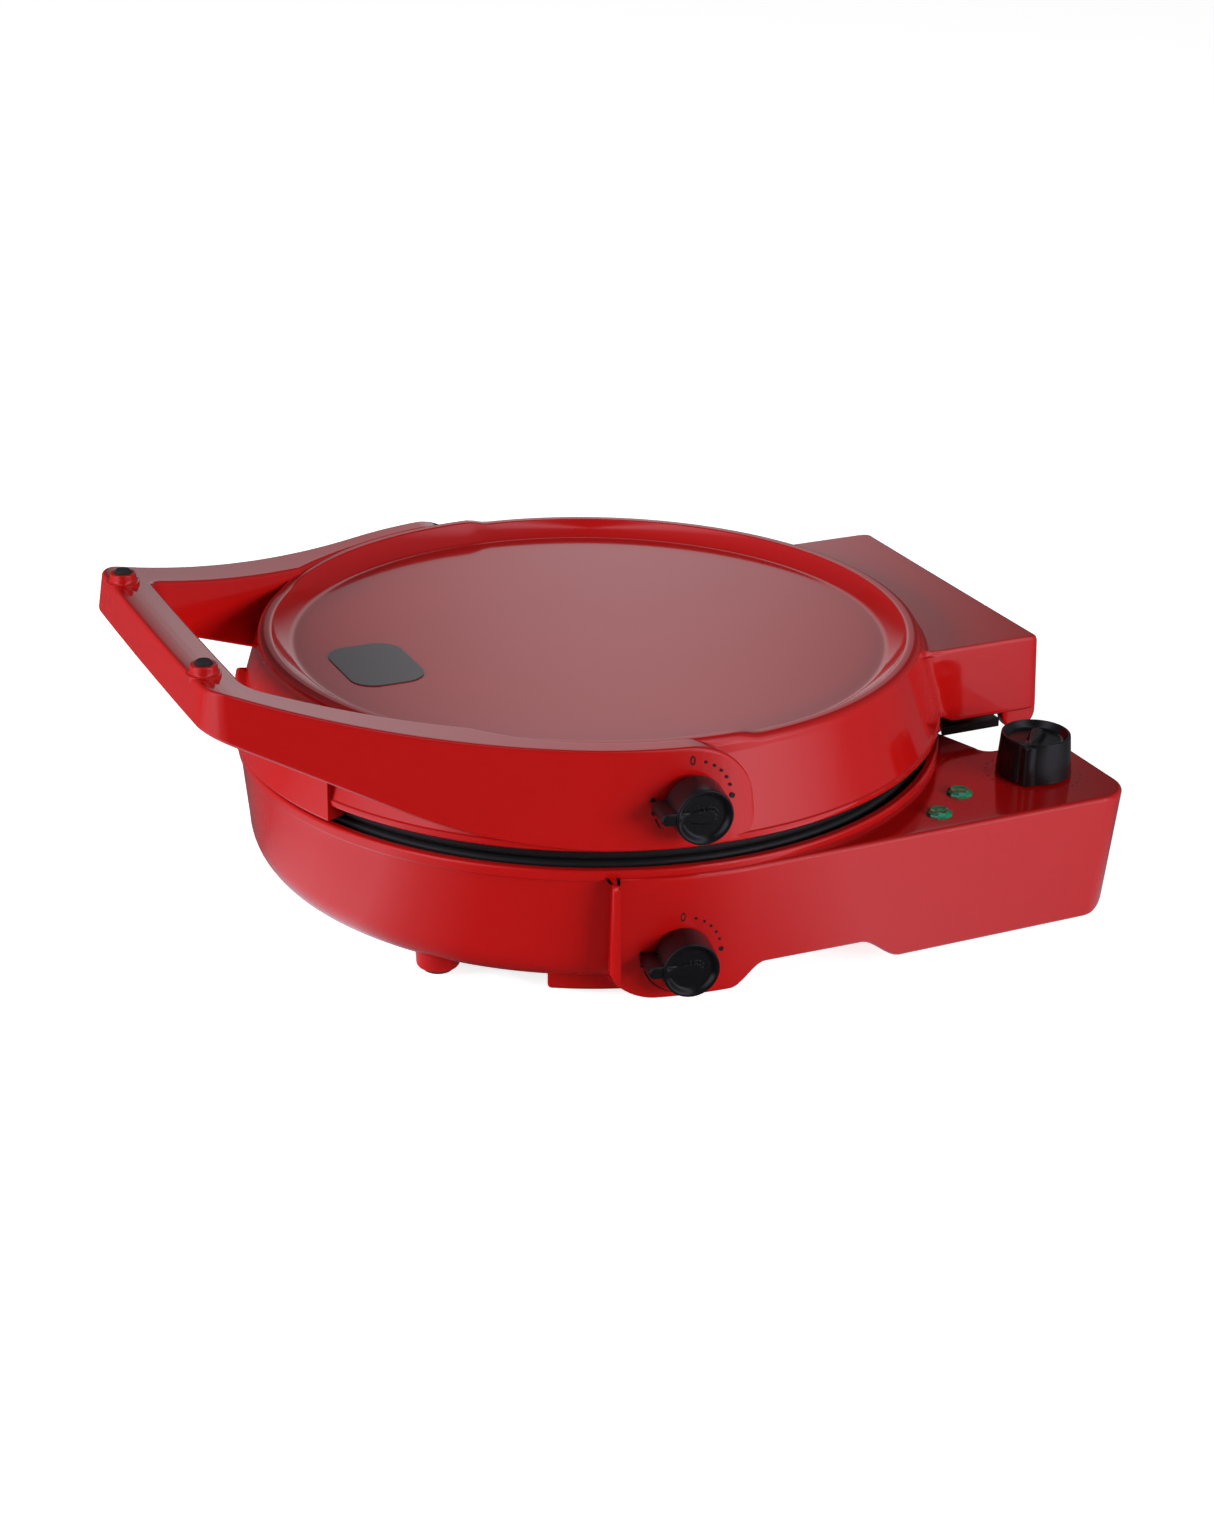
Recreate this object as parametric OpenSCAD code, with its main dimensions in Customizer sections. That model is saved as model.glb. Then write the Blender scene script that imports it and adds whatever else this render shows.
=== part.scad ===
// Round countertop ring-cake maker: a deep base with side controls and a hinged lid with a two-arm handle.
// The drum's axis is the middle of the plan, the front is -Y, the hinge is at +Y and the dials are at +X.

/* [Body] */
// Radius of the lid's lower edge
drum_r = 172; // [165:0.1:207]
// Height of the lid's lower edge above the table
seam_z = 80; // [78:1:96]
// Height of the lid's rim above its lower edge
lid_h = 43.5; // [40:0.5:52]
// How far the lid's side leans in over its height
lid_draft = 13; // [8:0.5:16]
// Depth of the round recess in the lid's top
recess_h = 7; // [4:0.5:9]
// Width of the raised rim around that recess
rim_w = 16.5; // [14:0.5:20]
// Wall of the moulded shells
wall = 3; // [2.5:0.1:3.6]
// Reach of the body behind the drum
rear_len = 34; // [32:0.5:40]

/* [Base] */
// How far the side faces stand out from the drum
flank_out = 2.5; // [1:0.5:4]
// Depth of the deck below the lid's lower edge
deck_drop = 12.5; // [11:0.5:14]
// Depth of the base's ring below the lid's lower edge
ring_drop = 9; // [8:0.5:9.5]
// Width of the ring's top
ring_w = 4.5; // [3.5:0.5:5]
// Clearance under the drum
drum_clear = 9.5; // [9:0.5:11]
// Clearance under the side faces
flank_clear = 7; // [6:0.5:8]
// Rounding between the drum's side and its floor
floor_r = 20; // [16:1:22]
// Half-width of the notch behind the base
notch_x = 103; // [98:1:106]
// Length of that notch
notch_y = 42; // [36:1:44]
// Half-angle of the dial housings in front of the side faces
pod_angle = 22.5; // [21:0.5:23.5]
// Width of the floor between the drum's side and the opening that the bottom cover closes
floor_ledge = 37; // [35:1:40]
// Radius of a rubber foot
foot_r = 9; // [7:0.5:10.8]

/* [Lid] */
// Half-width of the hinge housing behind the lid
box_x = 84; // [78:1:90]
// Height of the hinge housing above the lid's lower edge
box_h = 34; // [30:0.5:36]
// Distance of the hinge from the rear face
hinge_back = 10; // [10:0.5:12]
// Depth of the hinge below the lid's lower edge
hinge_drop = 4; // [3:0.5:5]
// Radius of the hinge rod
rod_r = 3; // [2.5:0.1:3.6]
// Running clearance of the shafts in their bores
run_gap = 0.05; // [0.03:0.01:0.09]
// Gap between each end of the hinge rod and the outside of the housing
rod_end = 1; // [0.5:0.5:3]

/* [Handle] */
// Reach of the handle in front of the drum
handle_len = 51; // [48:0.5:61]
// Angle between each arm and the middle line
arm_angle = 24; // [22:0.5:25]
// How far each arm's outer face lies inside the lid's lower edge
arm_inset = 1.5; // [1:0.1:4]
// Width of an arm
arm_w = 24; // [20:0.5:26]
// Width of the crossbar
bar_w = 19; // [16:0.5:22]
// Height of the arms where they leave the lid
arm_h = 45.8; // [43:0.1:48]
// Height of the handle's feet above the lid's lower edge
handle_foot_h = 77.7; // [75:0.1:82]
// Half the distance between the handle's feet
handle_foot_x = 63.3; // [55:0.1:68]

/* [Cooking plates] */
// Gap between the plates' rims and the lid's lower edge
plate_inset = 8; // [7:0.5:9]
// Depth of the parting face below the lid's lower edge
part_drop = 8; // [7:0.5:8.5]
// Gap between the closed plates
plate_gap = 0.6; // [0.4:0.1:1]
// Thickness of the plates
plate_t = 4; // [3:0.5:5]
// Height of the plates' outer skirt
skirt_h = 9; // [8:0.5:10]
// Number of ring moulds around the middle one
moulds = 6; // [5:1:6]
// Radius of the circle that they stand on
mould_circle = 95; // [93:1:100]
// Radius of a ring's centre line
ring_r = 26; // [24:1:27]
// Radius of a ring's section
tube_r = 14; // [11:0.5:14.5]
// Wall of a mould
mould_t = 3; // [2:0.5:3]
// Radius of the heating rods
heater_r = 3.3; // [2.5:0.01:4]
// Distance of the heating rods from the plates' rims
heater_inset = 16.5; // [14:0.5:17.5]

/* [Controls] */
// Radius of a thermostat dial
dial_r = 13.6; // [12:0.1:15]
// Height of a thermostat dial
dial_h = 17.5; // [14:0.5:20]
// Reach of a dial's pointer from its axis
pointer_r = 19.2; // [17:0.1:21]
// Angle of the lower dial in front of the X axis
lower_dial_angle = 10.4; // [9:0.1:13]
// Height of the lower dial's axis above the table
lower_dial_z = 29; // [26:0.5:31]
// Angle of the upper dial in front of the X axis
upper_dial_angle = 9; // [8:0.1:13]
// Height of the upper dial's axis above the lid's lower edge
upper_dial_h = 21.5; // [19:0.5:24]
// Radius of the timer knob's foot
timer_r = 18; // [16:0.1:20]
// Height of the timer knob
timer_h = 20; // [16:0.5:24]
// Distance of the timer's axis from the side face
timer_side = 40.5; // [38:0.5:44]
// Distance of the timer's axis from the rear face
timer_back = 33.5; // [30:0.5:36]
// Radius of a lamp's lens
lens_r = 6.3; // [5:0.01:7.6]

/* [Hidden] */
$fn = 96;

// Colours
red = [0.72, 0.06, 0.06];
black = [0.06, 0.06, 0.07];
steel = [0.7, 0.7, 0.72];
coating = [0.1, 0.1, 0.11];
brass = [0.72, 0.6, 0.3];
green = [0.05, 0.5, 0.3];
ceramic = [0.85, 0.83, 0.78];

rear_y = drum_r + rear_len;                 // rear face
handle_y = drum_r + handle_len;             // front of the handle
plate_r = drum_r - plate_inset;
arm_out = drum_r - arm_inset;

eps = 0.01;            // overlap of a cut with the face that it opens
touch = 0.1;           // gap between round pieces of one body that lie against each other
big = 600;             // larger than the whole object

// Heights and outlines that several pieces share
rim_r = drum_r - lid_draft;                 // outer radius of the lid's rim
rim_z = seam_z + lid_h;                     // top of the rim
recess_z = rim_z - recess_h;                // floor of the lid's recess
recess_r = rim_r - rim_w;                   // radius of that floor
ring_z = seam_z - ring_drop;                // top of the base's ring
deck_z = seam_z - deck_drop;                // top of the deck
flank_x = drum_r + flank_out;               // side faces of the base
notch_front = rear_y - notch_y;             // front edge of the notch
drum_foot_r = drum_r - 5;                   // radius of the drum above its rounded floor
part_z = seam_z - part_drop;                // the plates' parting face
box_z = seam_z + box_h;                     // top of the hinge housing
box_low = seam_z - 5.5;                     // lower edge of the hinge housing
hinge_y = rear_y - hinge_back;
hinge_z = seam_z - hinge_drop;
ear_r = hinge_back - 0.5;                   // rounding of the lid's hinge ears
ear_t = 6;                                  // thickness of those ears
knuckle_r = rod_r + 4.5;                    // the base's hinge knuckles
knuckle_x = [32, 50];                       // their sides
rod_x = box_x - rod_end;                    // half the length of the hinge rod
pod_top = seam_z + arm_h;                   // top of the arms' roots and of the upper dial's housing
pod_r = arm_out + 1.5;                      // face of the upper dial's housing
pod_end_y = 4;                              // rear end of that housing
pod_round = 31;                             // rounding of its upper rear corner
bar_z = seam_z + handle_foot_h - 5.2;       // top of the crossbar
timer_y = rear_y - timer_back;
timer_x = flank_x - timer_side;
lamps = [[flank_x - 16.7, notch_front - 57.7], [flank_x - 32.9, notch_front - 37]];
wing_x = (flank_x + notch_x) / 2;           // middle of the wings beside the notch
foot_angle = 37.4;                          // front feet, from the front towards the sides
foot_front = drum_r - 27.2;
foot_at = [for (s = [-1, 1]) each [[s * foot_front * sin(foot_angle), -foot_front * cos(foot_angle)],
                                   [s * wing_x, rear_y - 32]]];
post_r = 3.5;                               // posts that carry the plates
post_at = plate_r - 25;                     // their distance from the axis
heater_at = plate_r - heater_inset;
heater_open = 16;                           // half the angle that a heating rod leaves open at the rear
reflector_r = plate_r - 6;
floor_hole_r = drum_r - floor_ledge;
post_angles = [60, 180, 300];
screw_r = 1.45;                             // shanks of the screws
screw_bore = 1.5;                           // bores that they cut their thread in
head_r = 3;                                 // heads of the screws
head_h = 1.6;
bottom_screw_at = floor_hole_r + 5;
screw_angles = [45 : 90 : 315];             // bottom cover's screws
bush_r = 5;                                 // threaded bushes of the thermostats and the timer
spindle_r = 3;
panel_bow = 1;                              // room behind a panel for its curve
press = 0.02;                               // gap of the pressed fits
bore_floor = 6;                             // what a thermostat's body leaves behind its spindle
dial_gap = 0.8;                             // gap between a dial and its panel
reflector_t = 0.8;
liner_gap = 0.4;
liner_t = 1.5;

// The whole model stands with the middle of its box on the origin
dial_taper = 0.6;                           // how far a dial's side leans in
dial_face = [flank_x + dial_gap + dial_h, dial_r - dial_taper];
dial_tip_x = dial_face[0] * cos(lower_dial_angle) + dial_face[1] * sin(lower_dial_angle);
mid_x = (dial_tip_x - flank_x) / 2;
mid_y = (rear_y - handle_y) / 2;

// Points of an arc, counted from angle a to angle b
function arc(x, y, r, a, b, n = 12) =
    [for (i = [0 : n]) let (t = a + (b - a) * i / n) [x + r * cos(t), y + r * sin(t)]];

module placed() { translate([-mid_x, -mid_y, 0]) children(); }
module both_sides() { children(); mirror([1, 0, 0]) children(); }
// A profile in Y and Z, carried along X
module along_x(x0, x1) { translate([x0, 0, 0]) rotate([90, 0, 90]) linear_extrude(x1 - x0) children(); }
// A frame on the hinge's axis, at a distance from the middle
module at_hinge(x) { translate([x, hinge_y, hinge_z]) rotate([0, 90, 0]) children(); }
// A frame whose Z axis points out of the drum at an angle in front of the X axis
module facing(angle, r, z) { rotate([0, 0, -angle]) translate([r, 0, z]) rotate([0, 90, 0]) children(); }

// ---- Base shell ----

// The drum's outside, moved in by g
module base_drum(g) {
    lean = atan((drum_r - drum_foot_r) / (ring_z - drum_clear - floor_r));
    rotate_extrude() polygon(concat(
        [[0, drum_clear + g]],
        arc(drum_foot_r - floor_r, drum_clear + floor_r, floor_r - g, -90, -lean),
        [[drum_r - g, ring_z], [0, ring_z]]));
}

// Plan of the side faces, deck and rear wings, moved in by g
module flank_plan(g) {
    corner = 18 - g;
    x = flank_x - g;
    y = rear_y - g;
    front = drum_r * sin(pod_angle) + 1 - g;
    difference() {
        union() {
            intersection() {
                circle(r = x);
                translate([-x, -front]) square([2 * x, front + eps]);
            }
            translate([-x, 0]) square([2 * x, y - corner]);
            translate([-x + corner, 0]) square([2 * (x - corner), y]);
            both_sides() translate([x - corner, y - corner]) circle(r = corner);
        }
        circle(r = drum_foot_r - floor_r + 3 - 2 * g);
        translate([-notch_x - g, notch_front - g]) square([2 * (notch_x + g), notch_y + 1 + g]);
    }
}

// Side view of the same, with the relief between the dial's housing and the rear wings
module flank_side(g) {
    front = drum_r * sin(pod_angle) + 1 - g;
    sweep = 25;
    low = flank_clear + g;
    relief = low + 11;                      // its height, and where it starts and ends
    relief_y = [[-7, 7], [62, 79]];
    corner = 14;
    polygon(concat(
        [[-front, deck_z + ring_drop]],
        arc(-front + sweep, low + 1 + sweep, sweep, 180, 270),
        [[relief_y[0][0], low + 1], [relief_y[0][1], relief]],
        [[relief_y[1][0], relief], [relief_y[1][1], low]],
        arc(rear_y - g - corner, low + corner, corner, 270, 360, 6),
        [[rear_y - g, deck_z + ring_drop]]));
}

module base_flanks(g) {
    intersection() {
        linear_extrude(deck_z - g) flank_plan(g);
        along_x(-big / 2, big / 2) flank_side(g);
    }
}

// The dial's housing in front of the deck is as high as the ring
module pod_tops() {
    front = drum_r * sin(pod_angle) + 1;
    intersection() {
        difference() {
            translate([0, 0, deck_z - wall]) cylinder(r = flank_x, h = ring_z - 2 - deck_z + wall);
            cylinder(r = drum_r - 1, h = big);
        }
        translate([-big / 2, -front, 0]) cube([big, front - 18, big]);
    }
}

// Arm from the drum's rear wall to a knuckle of the hinge
module hinge_arm() {
    top = deck_z - 0.1;
    difference() {
        along_x(knuckle_x[0], knuckle_x[1]) union() {
            polygon([[drum_r - 13, top - 14], [drum_r - 13, top], [drum_r + 8, top],
                     [hinge_y - 6, hinge_z + 4], [hinge_y + 4, hinge_z - 6], [hinge_y - 6, hinge_z - 13]]);
            translate([hinge_y, hinge_z]) circle(r = knuckle_r);
        }
        cylinder(r = drum_r - ring_w, h = big);
    }
}

foot_h = 3.5;                               // rubber feet, and the stems that hold them
stem_r = 2.4;
stem_h = 2.5;

module base_shell() {
    boss_h = 11;
    rib_z = 2.5;
    color(red) difference() {
        union() {
            difference() {
                union() {
                    base_drum(0);
                    base_flanks(0);
                    pod_tops();
                }
                base_drum(wall);
                base_flanks(wall);
                translate([0, 0, deck_z - 2 * wall]) cylinder(r = drum_r - ring_w, h = big);
                cylinder(r = floor_hole_r, h = drum_clear + 2 * wall);
            }
            both_sides() hinge_arm();
            // bosses for the bottom cover's screws
            for (a = screw_angles) rotate(a) translate([bottom_screw_at, 0, drum_clear + wall - eps])
                cylinder(r = screw_bore + 2.9, h = boss_h);
            // legs over the rubber feet
            for (p = foot_at) translate([p[0], p[1], foot_h])
                cylinder(r = foot_r + 1.5, h = (p[1] < 0 ? drum_clear : flank_clear) - foot_h + 1.5);
            // rib under the dial's housing
            intersection() {
                difference() {
                    translate([0, 0, rib_z]) cylinder(r = drum_r - 20, h = drum_clear + 1.5 - rib_z);
                    cylinder(r = drum_r - 25.5, h = big);
                }
                rotate(-31) cube([big, 55, big]);
            }
        }
        // bores and openings
        for (a = screw_angles) rotate(a) translate([bottom_screw_at, 0, drum_clear - 1])
            cylinder(r = screw_bore, h = wall + boss_h - 1);
        at_lower_dial() translate([0, 0, -20]) cylinder(r = bush_r + touch, h = 40);
        at_timer() translate([0, 0, -20]) cylinder(r = bush_r + touch, h = 40);
        for (p = lamps) translate([p[0], p[1], deck_z - 20]) cylinder(r = lens_r - lens_lip + touch, h = 40);
        at_hinge(0) cylinder(r = rod_r + press, h = 2 * box_x, center = true);
        inlet_slot(touch);
        cord_inlet_place() translate([-flange_r - 0.2, -flange_r - 0.2, -flange_t])
            cube([2 * flange_r + 0.4, 2 * flange_r + 0.4, 2 * flange_t]);
        for (p = foot_at) translate([p[0], p[1], foot_h - eps])
            cylinder(r = stem_r + touch, h = stem_h + touch);
    }
}

module base_liner() {
    color(black) translate([0, 0, ring_z - 8]) difference() {
        cylinder(r = drum_r - ring_w - touch, h = liner_t);
        translate([0, 0, -1]) cylinder(r = plate_r + liner_gap, h = 2 + liner_t);
    }
}

// ---- Underside ----

cover_t = 3;                                // bottom cover

module bottom_cover() {
    slot = [34, 4];
    color(black) difference() {
        translate([0, 0, drum_clear - cover_t]) cylinder(r = bottom_screw_at + 5, h = cover_t);
        for (a = screw_angles) rotate(a) translate([bottom_screw_at, 0, 0]) {
            cylinder(r = screw_r + 0.25, h = big);
            cylinder(r = head_r + 0.2, h = drum_clear - cover_t + head_h + 0.2);
        }
        // rows of cooling slots
        for (i = [-3 : 3]) both_sides() translate([36, (3 * i - 0.5) * slot[1], 0])
            cube([slot[0], slot[1], big]);
        // clearance around the front legs
        for (p = foot_at) translate([p[0], p[1], 0]) cylinder(r = foot_r + 2, h = big);
    }
}

module bottom_screws() {
    z = drum_clear - cover_t + 0.2;
    color(steel) for (a = screw_angles) rotate(a) translate([bottom_screw_at, 0, z]) {
        cylinder(r = head_r, h = head_h);
        cylinder(r = screw_r, h = 12);
    }
}

module rubber_feet() {
    color(black) for (p = foot_at) translate([p[0], p[1], 0]) {
        cylinder(r = foot_r, h = foot_h);
        cylinder(r = stem_r, h = foot_h + stem_h);
    }
}

// ---- Cooking plates ----

// One plate, parting face at Z 0, body below it
module plate_body() {
    difference() {
        union() {
            translate([0, 0, -plate_t]) cylinder(r = plate_r, h = plate_t);
            translate([0, 0, -skirt_h]) difference() {
                cylinder(r = plate_r, h = skirt_h);
                translate([0, 0, -1]) cylinder(r = plate_r - 3, h = skirt_h + 2);
            }
            intersection() {
                mould_places() rotate_extrude() translate([ring_r, 0]) circle(r = tube_r + mould_t);
                translate([0, 0, -50]) cylinder(r = plate_r, h = 50 - plate_t / 2);
            }
        }
        mould_places() rotate_extrude() translate([ring_r, 0]) circle(r = tube_r);
        // overflow channel near the edge
        rotate_extrude() translate([plate_r - 8, 0]) circle(r = 2);
    }
}

module mould_places() {
    children();
    for (i = [0 : moulds - 1]) rotate(30 + i * 360 / moulds) translate([mould_circle, 0, 0]) children();
}

module lower_plate() {
    color(coating) translate([0, 0, part_z - plate_gap / 2]) plate_body();
}

module upper_plate() {
    color(coating) translate([0, 0, part_z + plate_gap / 2]) mirror([0, 0, 1]) plate_body();
}

plate_low = part_z - plate_gap / 2 - plate_t;       // underside of the lower plate
plate_high = part_z + plate_gap / 2 + plate_t;      // upper side of the upper plate
mould_low = part_z - plate_gap / 2 - tube_r - mould_t;
mould_high = part_z + plate_gap / 2 + tube_r + mould_t;

// Heating rod, a ring that is open at the rear, its ends turned away from the plate by dir
module element(z, dir) {
    tail = 14;
    rotate(90 + heater_open) rotate_extrude(angle = 360 - 2 * heater_open)
        translate([heater_at, z]) circle(r = heater_r);
    for (s = [-1, 1]) rotate(90 + s * heater_open) translate([heater_at, 0, z]) {
        sphere(r = heater_r);
        translate([0, 0, dir < 0 ? -tail : 0]) cylinder(r = heater_r, h = tail);
    }
}

module lower_element() { color(steel) element(plate_low - heater_r - touch, -1); }
module upper_element() { color(steel) element(plate_high + heater_r + touch, 1); }

// Holes in the reflectors for the posts and the heating rods' ends
module reflector_holes() {
    for (a = post_angles) rotate(a) translate([post_at, 0, 0]) cylinder(r = post_r + 0.3, h = big);
    for (s = [-1, 1]) rotate(90 + s * heater_open) translate([heater_at, 0, 0])
        cylinder(r = heater_r + 1, h = big);
}

// Trays of thin sheet, one under the lower plate and one over the upper plate
module lower_reflector() {
    z = mould_low - 5;
    rim_h = 10;
    color(steel) difference() {
        translate([0, 0, z]) cylinder(r = reflector_r, h = rim_h);
        translate([0, 0, z + reflector_t]) cylinder(r = reflector_r - reflector_t, h = rim_h);
        reflector_holes();
    }
}

module upper_reflector() {
    z = mould_high + 4;
    rim_h = 9;
    r = reflector_r - 4;
    color(steel) difference() {
        translate([0, 0, z - rim_h]) cylinder(r = r, h = rim_h + reflector_t);
        translate([0, 0, z - 2 * rim_h]) cylinder(r = r - reflector_t, h = 2 * rim_h);
        reflector_holes();
        // room for the thermostat
        rotate(-upper_dial_angle) translate([pod_r - 46, -19, 0]) cube([60, 38, big]);
    }
}

module lower_posts() {
    color(steel) for (a = post_angles) rotate(a) translate([post_at, 0, drum_clear + wall])
        cylinder(r = post_r, h = plate_low - drum_clear - wall);
}

module upper_posts() {
    color(steel) for (a = post_angles) rotate(a) translate([post_at, 0, plate_high])
        cylinder(r = post_r, h = recess_z - wall - plate_high);
}

// ---- Thermostats, timer and lamps ----

thermostat_deep = 21;
seat_z = -wall - panel_bow;                 // front of a thermostat's body, from the panel's outer face
grip = 10;                                  // length of the spindles inside their knobs

// Body behind a panel whose outer face is at Z 0; the bush passes through the panel
module thermostat(high) {
    wide = 30;
    tab = [high - 6, 6, 6];
    back = seat_z - thermostat_deep;
    difference() {
        union() {
            translate([-high / 2, -wide / 2, back]) cube([high, wide, thermostat_deep]);
            translate([0, 0, seat_z - eps]) cylinder(r = bush_r, h = -seat_z - 0.4);
            translate([-tab[0] / 2, -tab[1] / 2, back - tab[2]]) cube([tab[0], tab[1], tab[2] + eps]);
        }
        translate([0, 0, back + bore_floor]) cylinder(r = spindle_r + run_gap, h = thermostat_deep + wall);
    }
}

module spindle() {
    low = seat_z - thermostat_deep + bore_floor + 1;
    translate([0, 0, low]) cylinder(r = spindle_r, h = dial_gap + grip - low);
}

module at_lower_dial() { facing(lower_dial_angle, flank_x, lower_dial_z) children(); }
module at_upper_dial() { facing(upper_dial_angle, pod_r, seam_z + upper_dial_h) children(); }

module lower_thermostat() { color(ceramic) at_lower_dial() thermostat(26); }
module upper_thermostat() { color(ceramic) at_upper_dial() thermostat(20); }
module lower_spindle() { color(brass) at_lower_dial() spindle(); }
module upper_spindle() { color(brass) at_upper_dial() spindle(); }

// Dial that points to -Y, on a panel at Z 0
module dial() {
    tip = 3.4;                              // half-width of the pointer
    pointer_h = dial_h - 0.8;
    difference() {
        translate([0, 0, dial_gap]) union() {
            cylinder(r1 = dial_r, r2 = dial_r - dial_taper, h = dial_h);
            translate([-tip, -pointer_r + tip, 0]) cube([2 * tip, pointer_r - tip, pointer_h]);
            translate([0, -pointer_r + tip, 0]) cylinder(r = tip, h = pointer_h);
        }
        translate([0, 0, -1]) cylinder(r = spindle_r + press, h = 1 + dial_gap + grip);
    }
}

module lower_dial() { color(black) at_lower_dial() dial(); }
module upper_dial() { color(black) at_upper_dial() dial(); }

timer_deep = 26;
timer_bore = 20;                            // depth of the timer's bore under the deck's wall

module at_timer() { translate([timer_x, timer_y, deck_z]) children(); }

module timer_mechanism() {
    body = [44, 40];
    color(ceramic) at_timer() difference() {
        union() {
            translate([-body[0] / 2, -body[1] / 2, -wall - timer_deep]) cube([body[0], body[1], timer_deep]);
            translate([0, 0, -wall - eps]) cylinder(r = bush_r, h = wall - 0.4);
        }
        translate([0, 0, -wall - timer_bore]) cylinder(r = spindle_r + run_gap, h = 2 * timer_bore);
    }
}

module timer_spindle() {
    color(brass) at_timer() translate([0, 0, 1 - wall - timer_bore])
        cylinder(r = spindle_r, h = wall + timer_bore - 1 + dial_gap + grip);
}

module timer_knob() {
    lobe = 60;                              // direction of the pointer, from the front towards +X
    lobe_w = 8;
    lean = 1.6;
    color(black) at_timer() difference() {
        translate([0, 0, dial_gap]) union() {
            cylinder(r1 = timer_r, r2 = timer_r - lean, h = timer_h);
            rotate(lobe) translate([-lobe_w / 2, -timer_r - lean, 0]) cube([lobe_w, timer_r, timer_h - 0.5]);
        }
        translate([0, 0, -1]) cylinder(r = spindle_r + press, h = 1 + dial_gap + grip);
    }
}

lens_lip = 1.2;                             // flange of a lens on the deck
lens_tube = 1;                              // wall of its tube

module lens(p) {
    translate([p[0], p[1], deck_z]) {
        cylinder(r = lens_r, h = lens_lip);
        translate([0, 0, lens_lip]) cylinder(r1 = lens_r, r2 = lens_r - 2 * lens_lip, h = lens_lip);
        translate([0, 0, -wall - 2]) difference() {
            cylinder(r = lens_r - lens_lip, h = wall + 2);
            translate([0, 0, -1]) cylinder(r = lens_r - lens_lip - lens_tube, h = wall + 2);
        }
    }
}

module front_lamp_lens() { color(green) lens(lamps[0]); }
module rear_lamp_lens() { color(green) lens(lamps[1]); }

module neon_lamps() {
    color(ceramic) for (p = lamps) translate([p[0], p[1], deck_z - 20]) {
        cylinder(r = 2.6, h = 16);
        cylinder(r = 4.6, h = 7);
    }
}

floor_z = flank_clear + wall;               // floor inside the wings
block = [18, 42, 15];

module terminal_block() {
    pitch = block[1] / 3;
    color(ceramic) translate([-wing_x - 18.25, notch_front - 50, floor_z]) difference() {
        cube(block);
        for (i = [0 : 2]) translate([block[0] / 2, pitch * (i + 0.5), 2]) cylinder(r = 3, h = block[2]);
    }
}

module thermal_fuse() {
    r = 4;
    length = 14;
    lead = 6;
    color(steel) translate([-wing_x - 11.25, notch_front - 60, floor_z + r + touch]) rotate([90, 0, 0]) {
        cylinder(r = r, h = length);
        translate([0, 0, -lead]) cylinder(r = 1, h = length + 2 * lead);
    }
}

cable_r = 3.6;                              // hole for a mains cable
inlet_r = 6.8;                              // half the width of its neck and of its flanges
flange_r = 9;
flange_t = 1.5;

module cord_inlet_place() { translate([3.75 - wing_x, rear_y, 34]) rotate([-90, 0, 0]) children(); }

// Slot in the rear wall, open downwards, that the cord inlet slides into
module inlet_slot(g) {
    deep = wall + 5 + g;
    cord_inlet_place() translate([-inlet_r - g, -inlet_r - g, -deep])
        cube([2 * (inlet_r + g), big, deep + 3]);
}

// A square-flanged bush whose tail fills its slot in the wall
module cord_inlet() {
    color(black) difference() {
        union() {
            intersection() {
                inlet_slot(-touch);
                difference() {
                    base_flanks(0);
                    base_flanks(wall);
                }
            }
            cord_inlet_place() {
                translate([-flange_r, -flange_r, -flange_t]) cube([2 * flange_r, 2 * flange_r, flange_t]);
                translate([-flange_r, -flange_r, -wall - 4]) cube([2 * flange_r, 2 * flange_r, 4 - touch]);
                translate([-inlet_r + touch, -inlet_r + touch, -wall - 1])
                    cube([2 * (inlet_r - touch), 2 * (inlet_r - touch), wall]);
            }
        }
        cord_inlet_place() translate([0, 0, -20]) cylinder(r = cable_r, h = 40);
    }
}

// ---- Hinge ----

module hinge_rod() {
    color(steel) at_hinge(0) cylinder(r = rod_r, h = 2 * rod_x, center = true);
}

module hinge_clips() {
    clip_t = 1;
    color(steel) both_sides() at_hinge(knuckle_x[1] + touch) difference() {
        cylinder(r = rod_r + 3, h = clip_t);
        translate([0, 0, -1]) cylinder(r = rod_r + press, h = clip_t + 2);
    }
}

// ---- Lid ----

// The lid's outside: a leaning side, a rounded rim and the recess inside it
module lid_drum() {
    rotate_extrude() polygon([
        [0, seam_z], [drum_r, seam_z], [drum_r - 1, seam_z + 6], [rim_r + 1.5, rim_z - 5], [rim_r, rim_z - 2],
        [rim_r - 2.5, rim_z], [rim_r - 5, rim_z], [recess_r, recess_z], [0, recess_z]]);
}

module lid_cavity() {
    rotate_extrude() polygon([
        [0, seam_z - 1], [drum_r - wall, seam_z - 1], [drum_r - wall - 1, seam_z + 6],
        [rim_r + 1 - wall, recess_z],
        [rim_r - 6, recess_z], [recess_r + wall, recess_z - wall], [0, recess_z - wall]]);
}

// Roots of the arms; the one at +X also houses the dial
module arm_roots(g) {
    intersection() {
        difference() {
            cylinder(r = pod_r - g, h = g > 0 ? recess_z - 0.5 : big);
            cylinder(r = g > 0 ? rim_r - 9 : rim_r - 1, h = big);
        }
        translate([-big / 2, -big / 2, 0]) cube([big, big / 2 + pod_end_y - g, big]);
        both_sides() rotate(-arm_angle) translate([0, g, 0]) cube([big, big, big]);
        along_x(-big / 2, big / 2) polygon(concat(
            [[-big / 2, seam_z + 2 * g], [pod_end_y - g, seam_z + 2 * g]],
            arc(pod_end_y - pod_round, pod_top - pod_round, pod_round - g, 0, 90),
            [[-big / 2, pod_top - g]]));
    }
}

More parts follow.
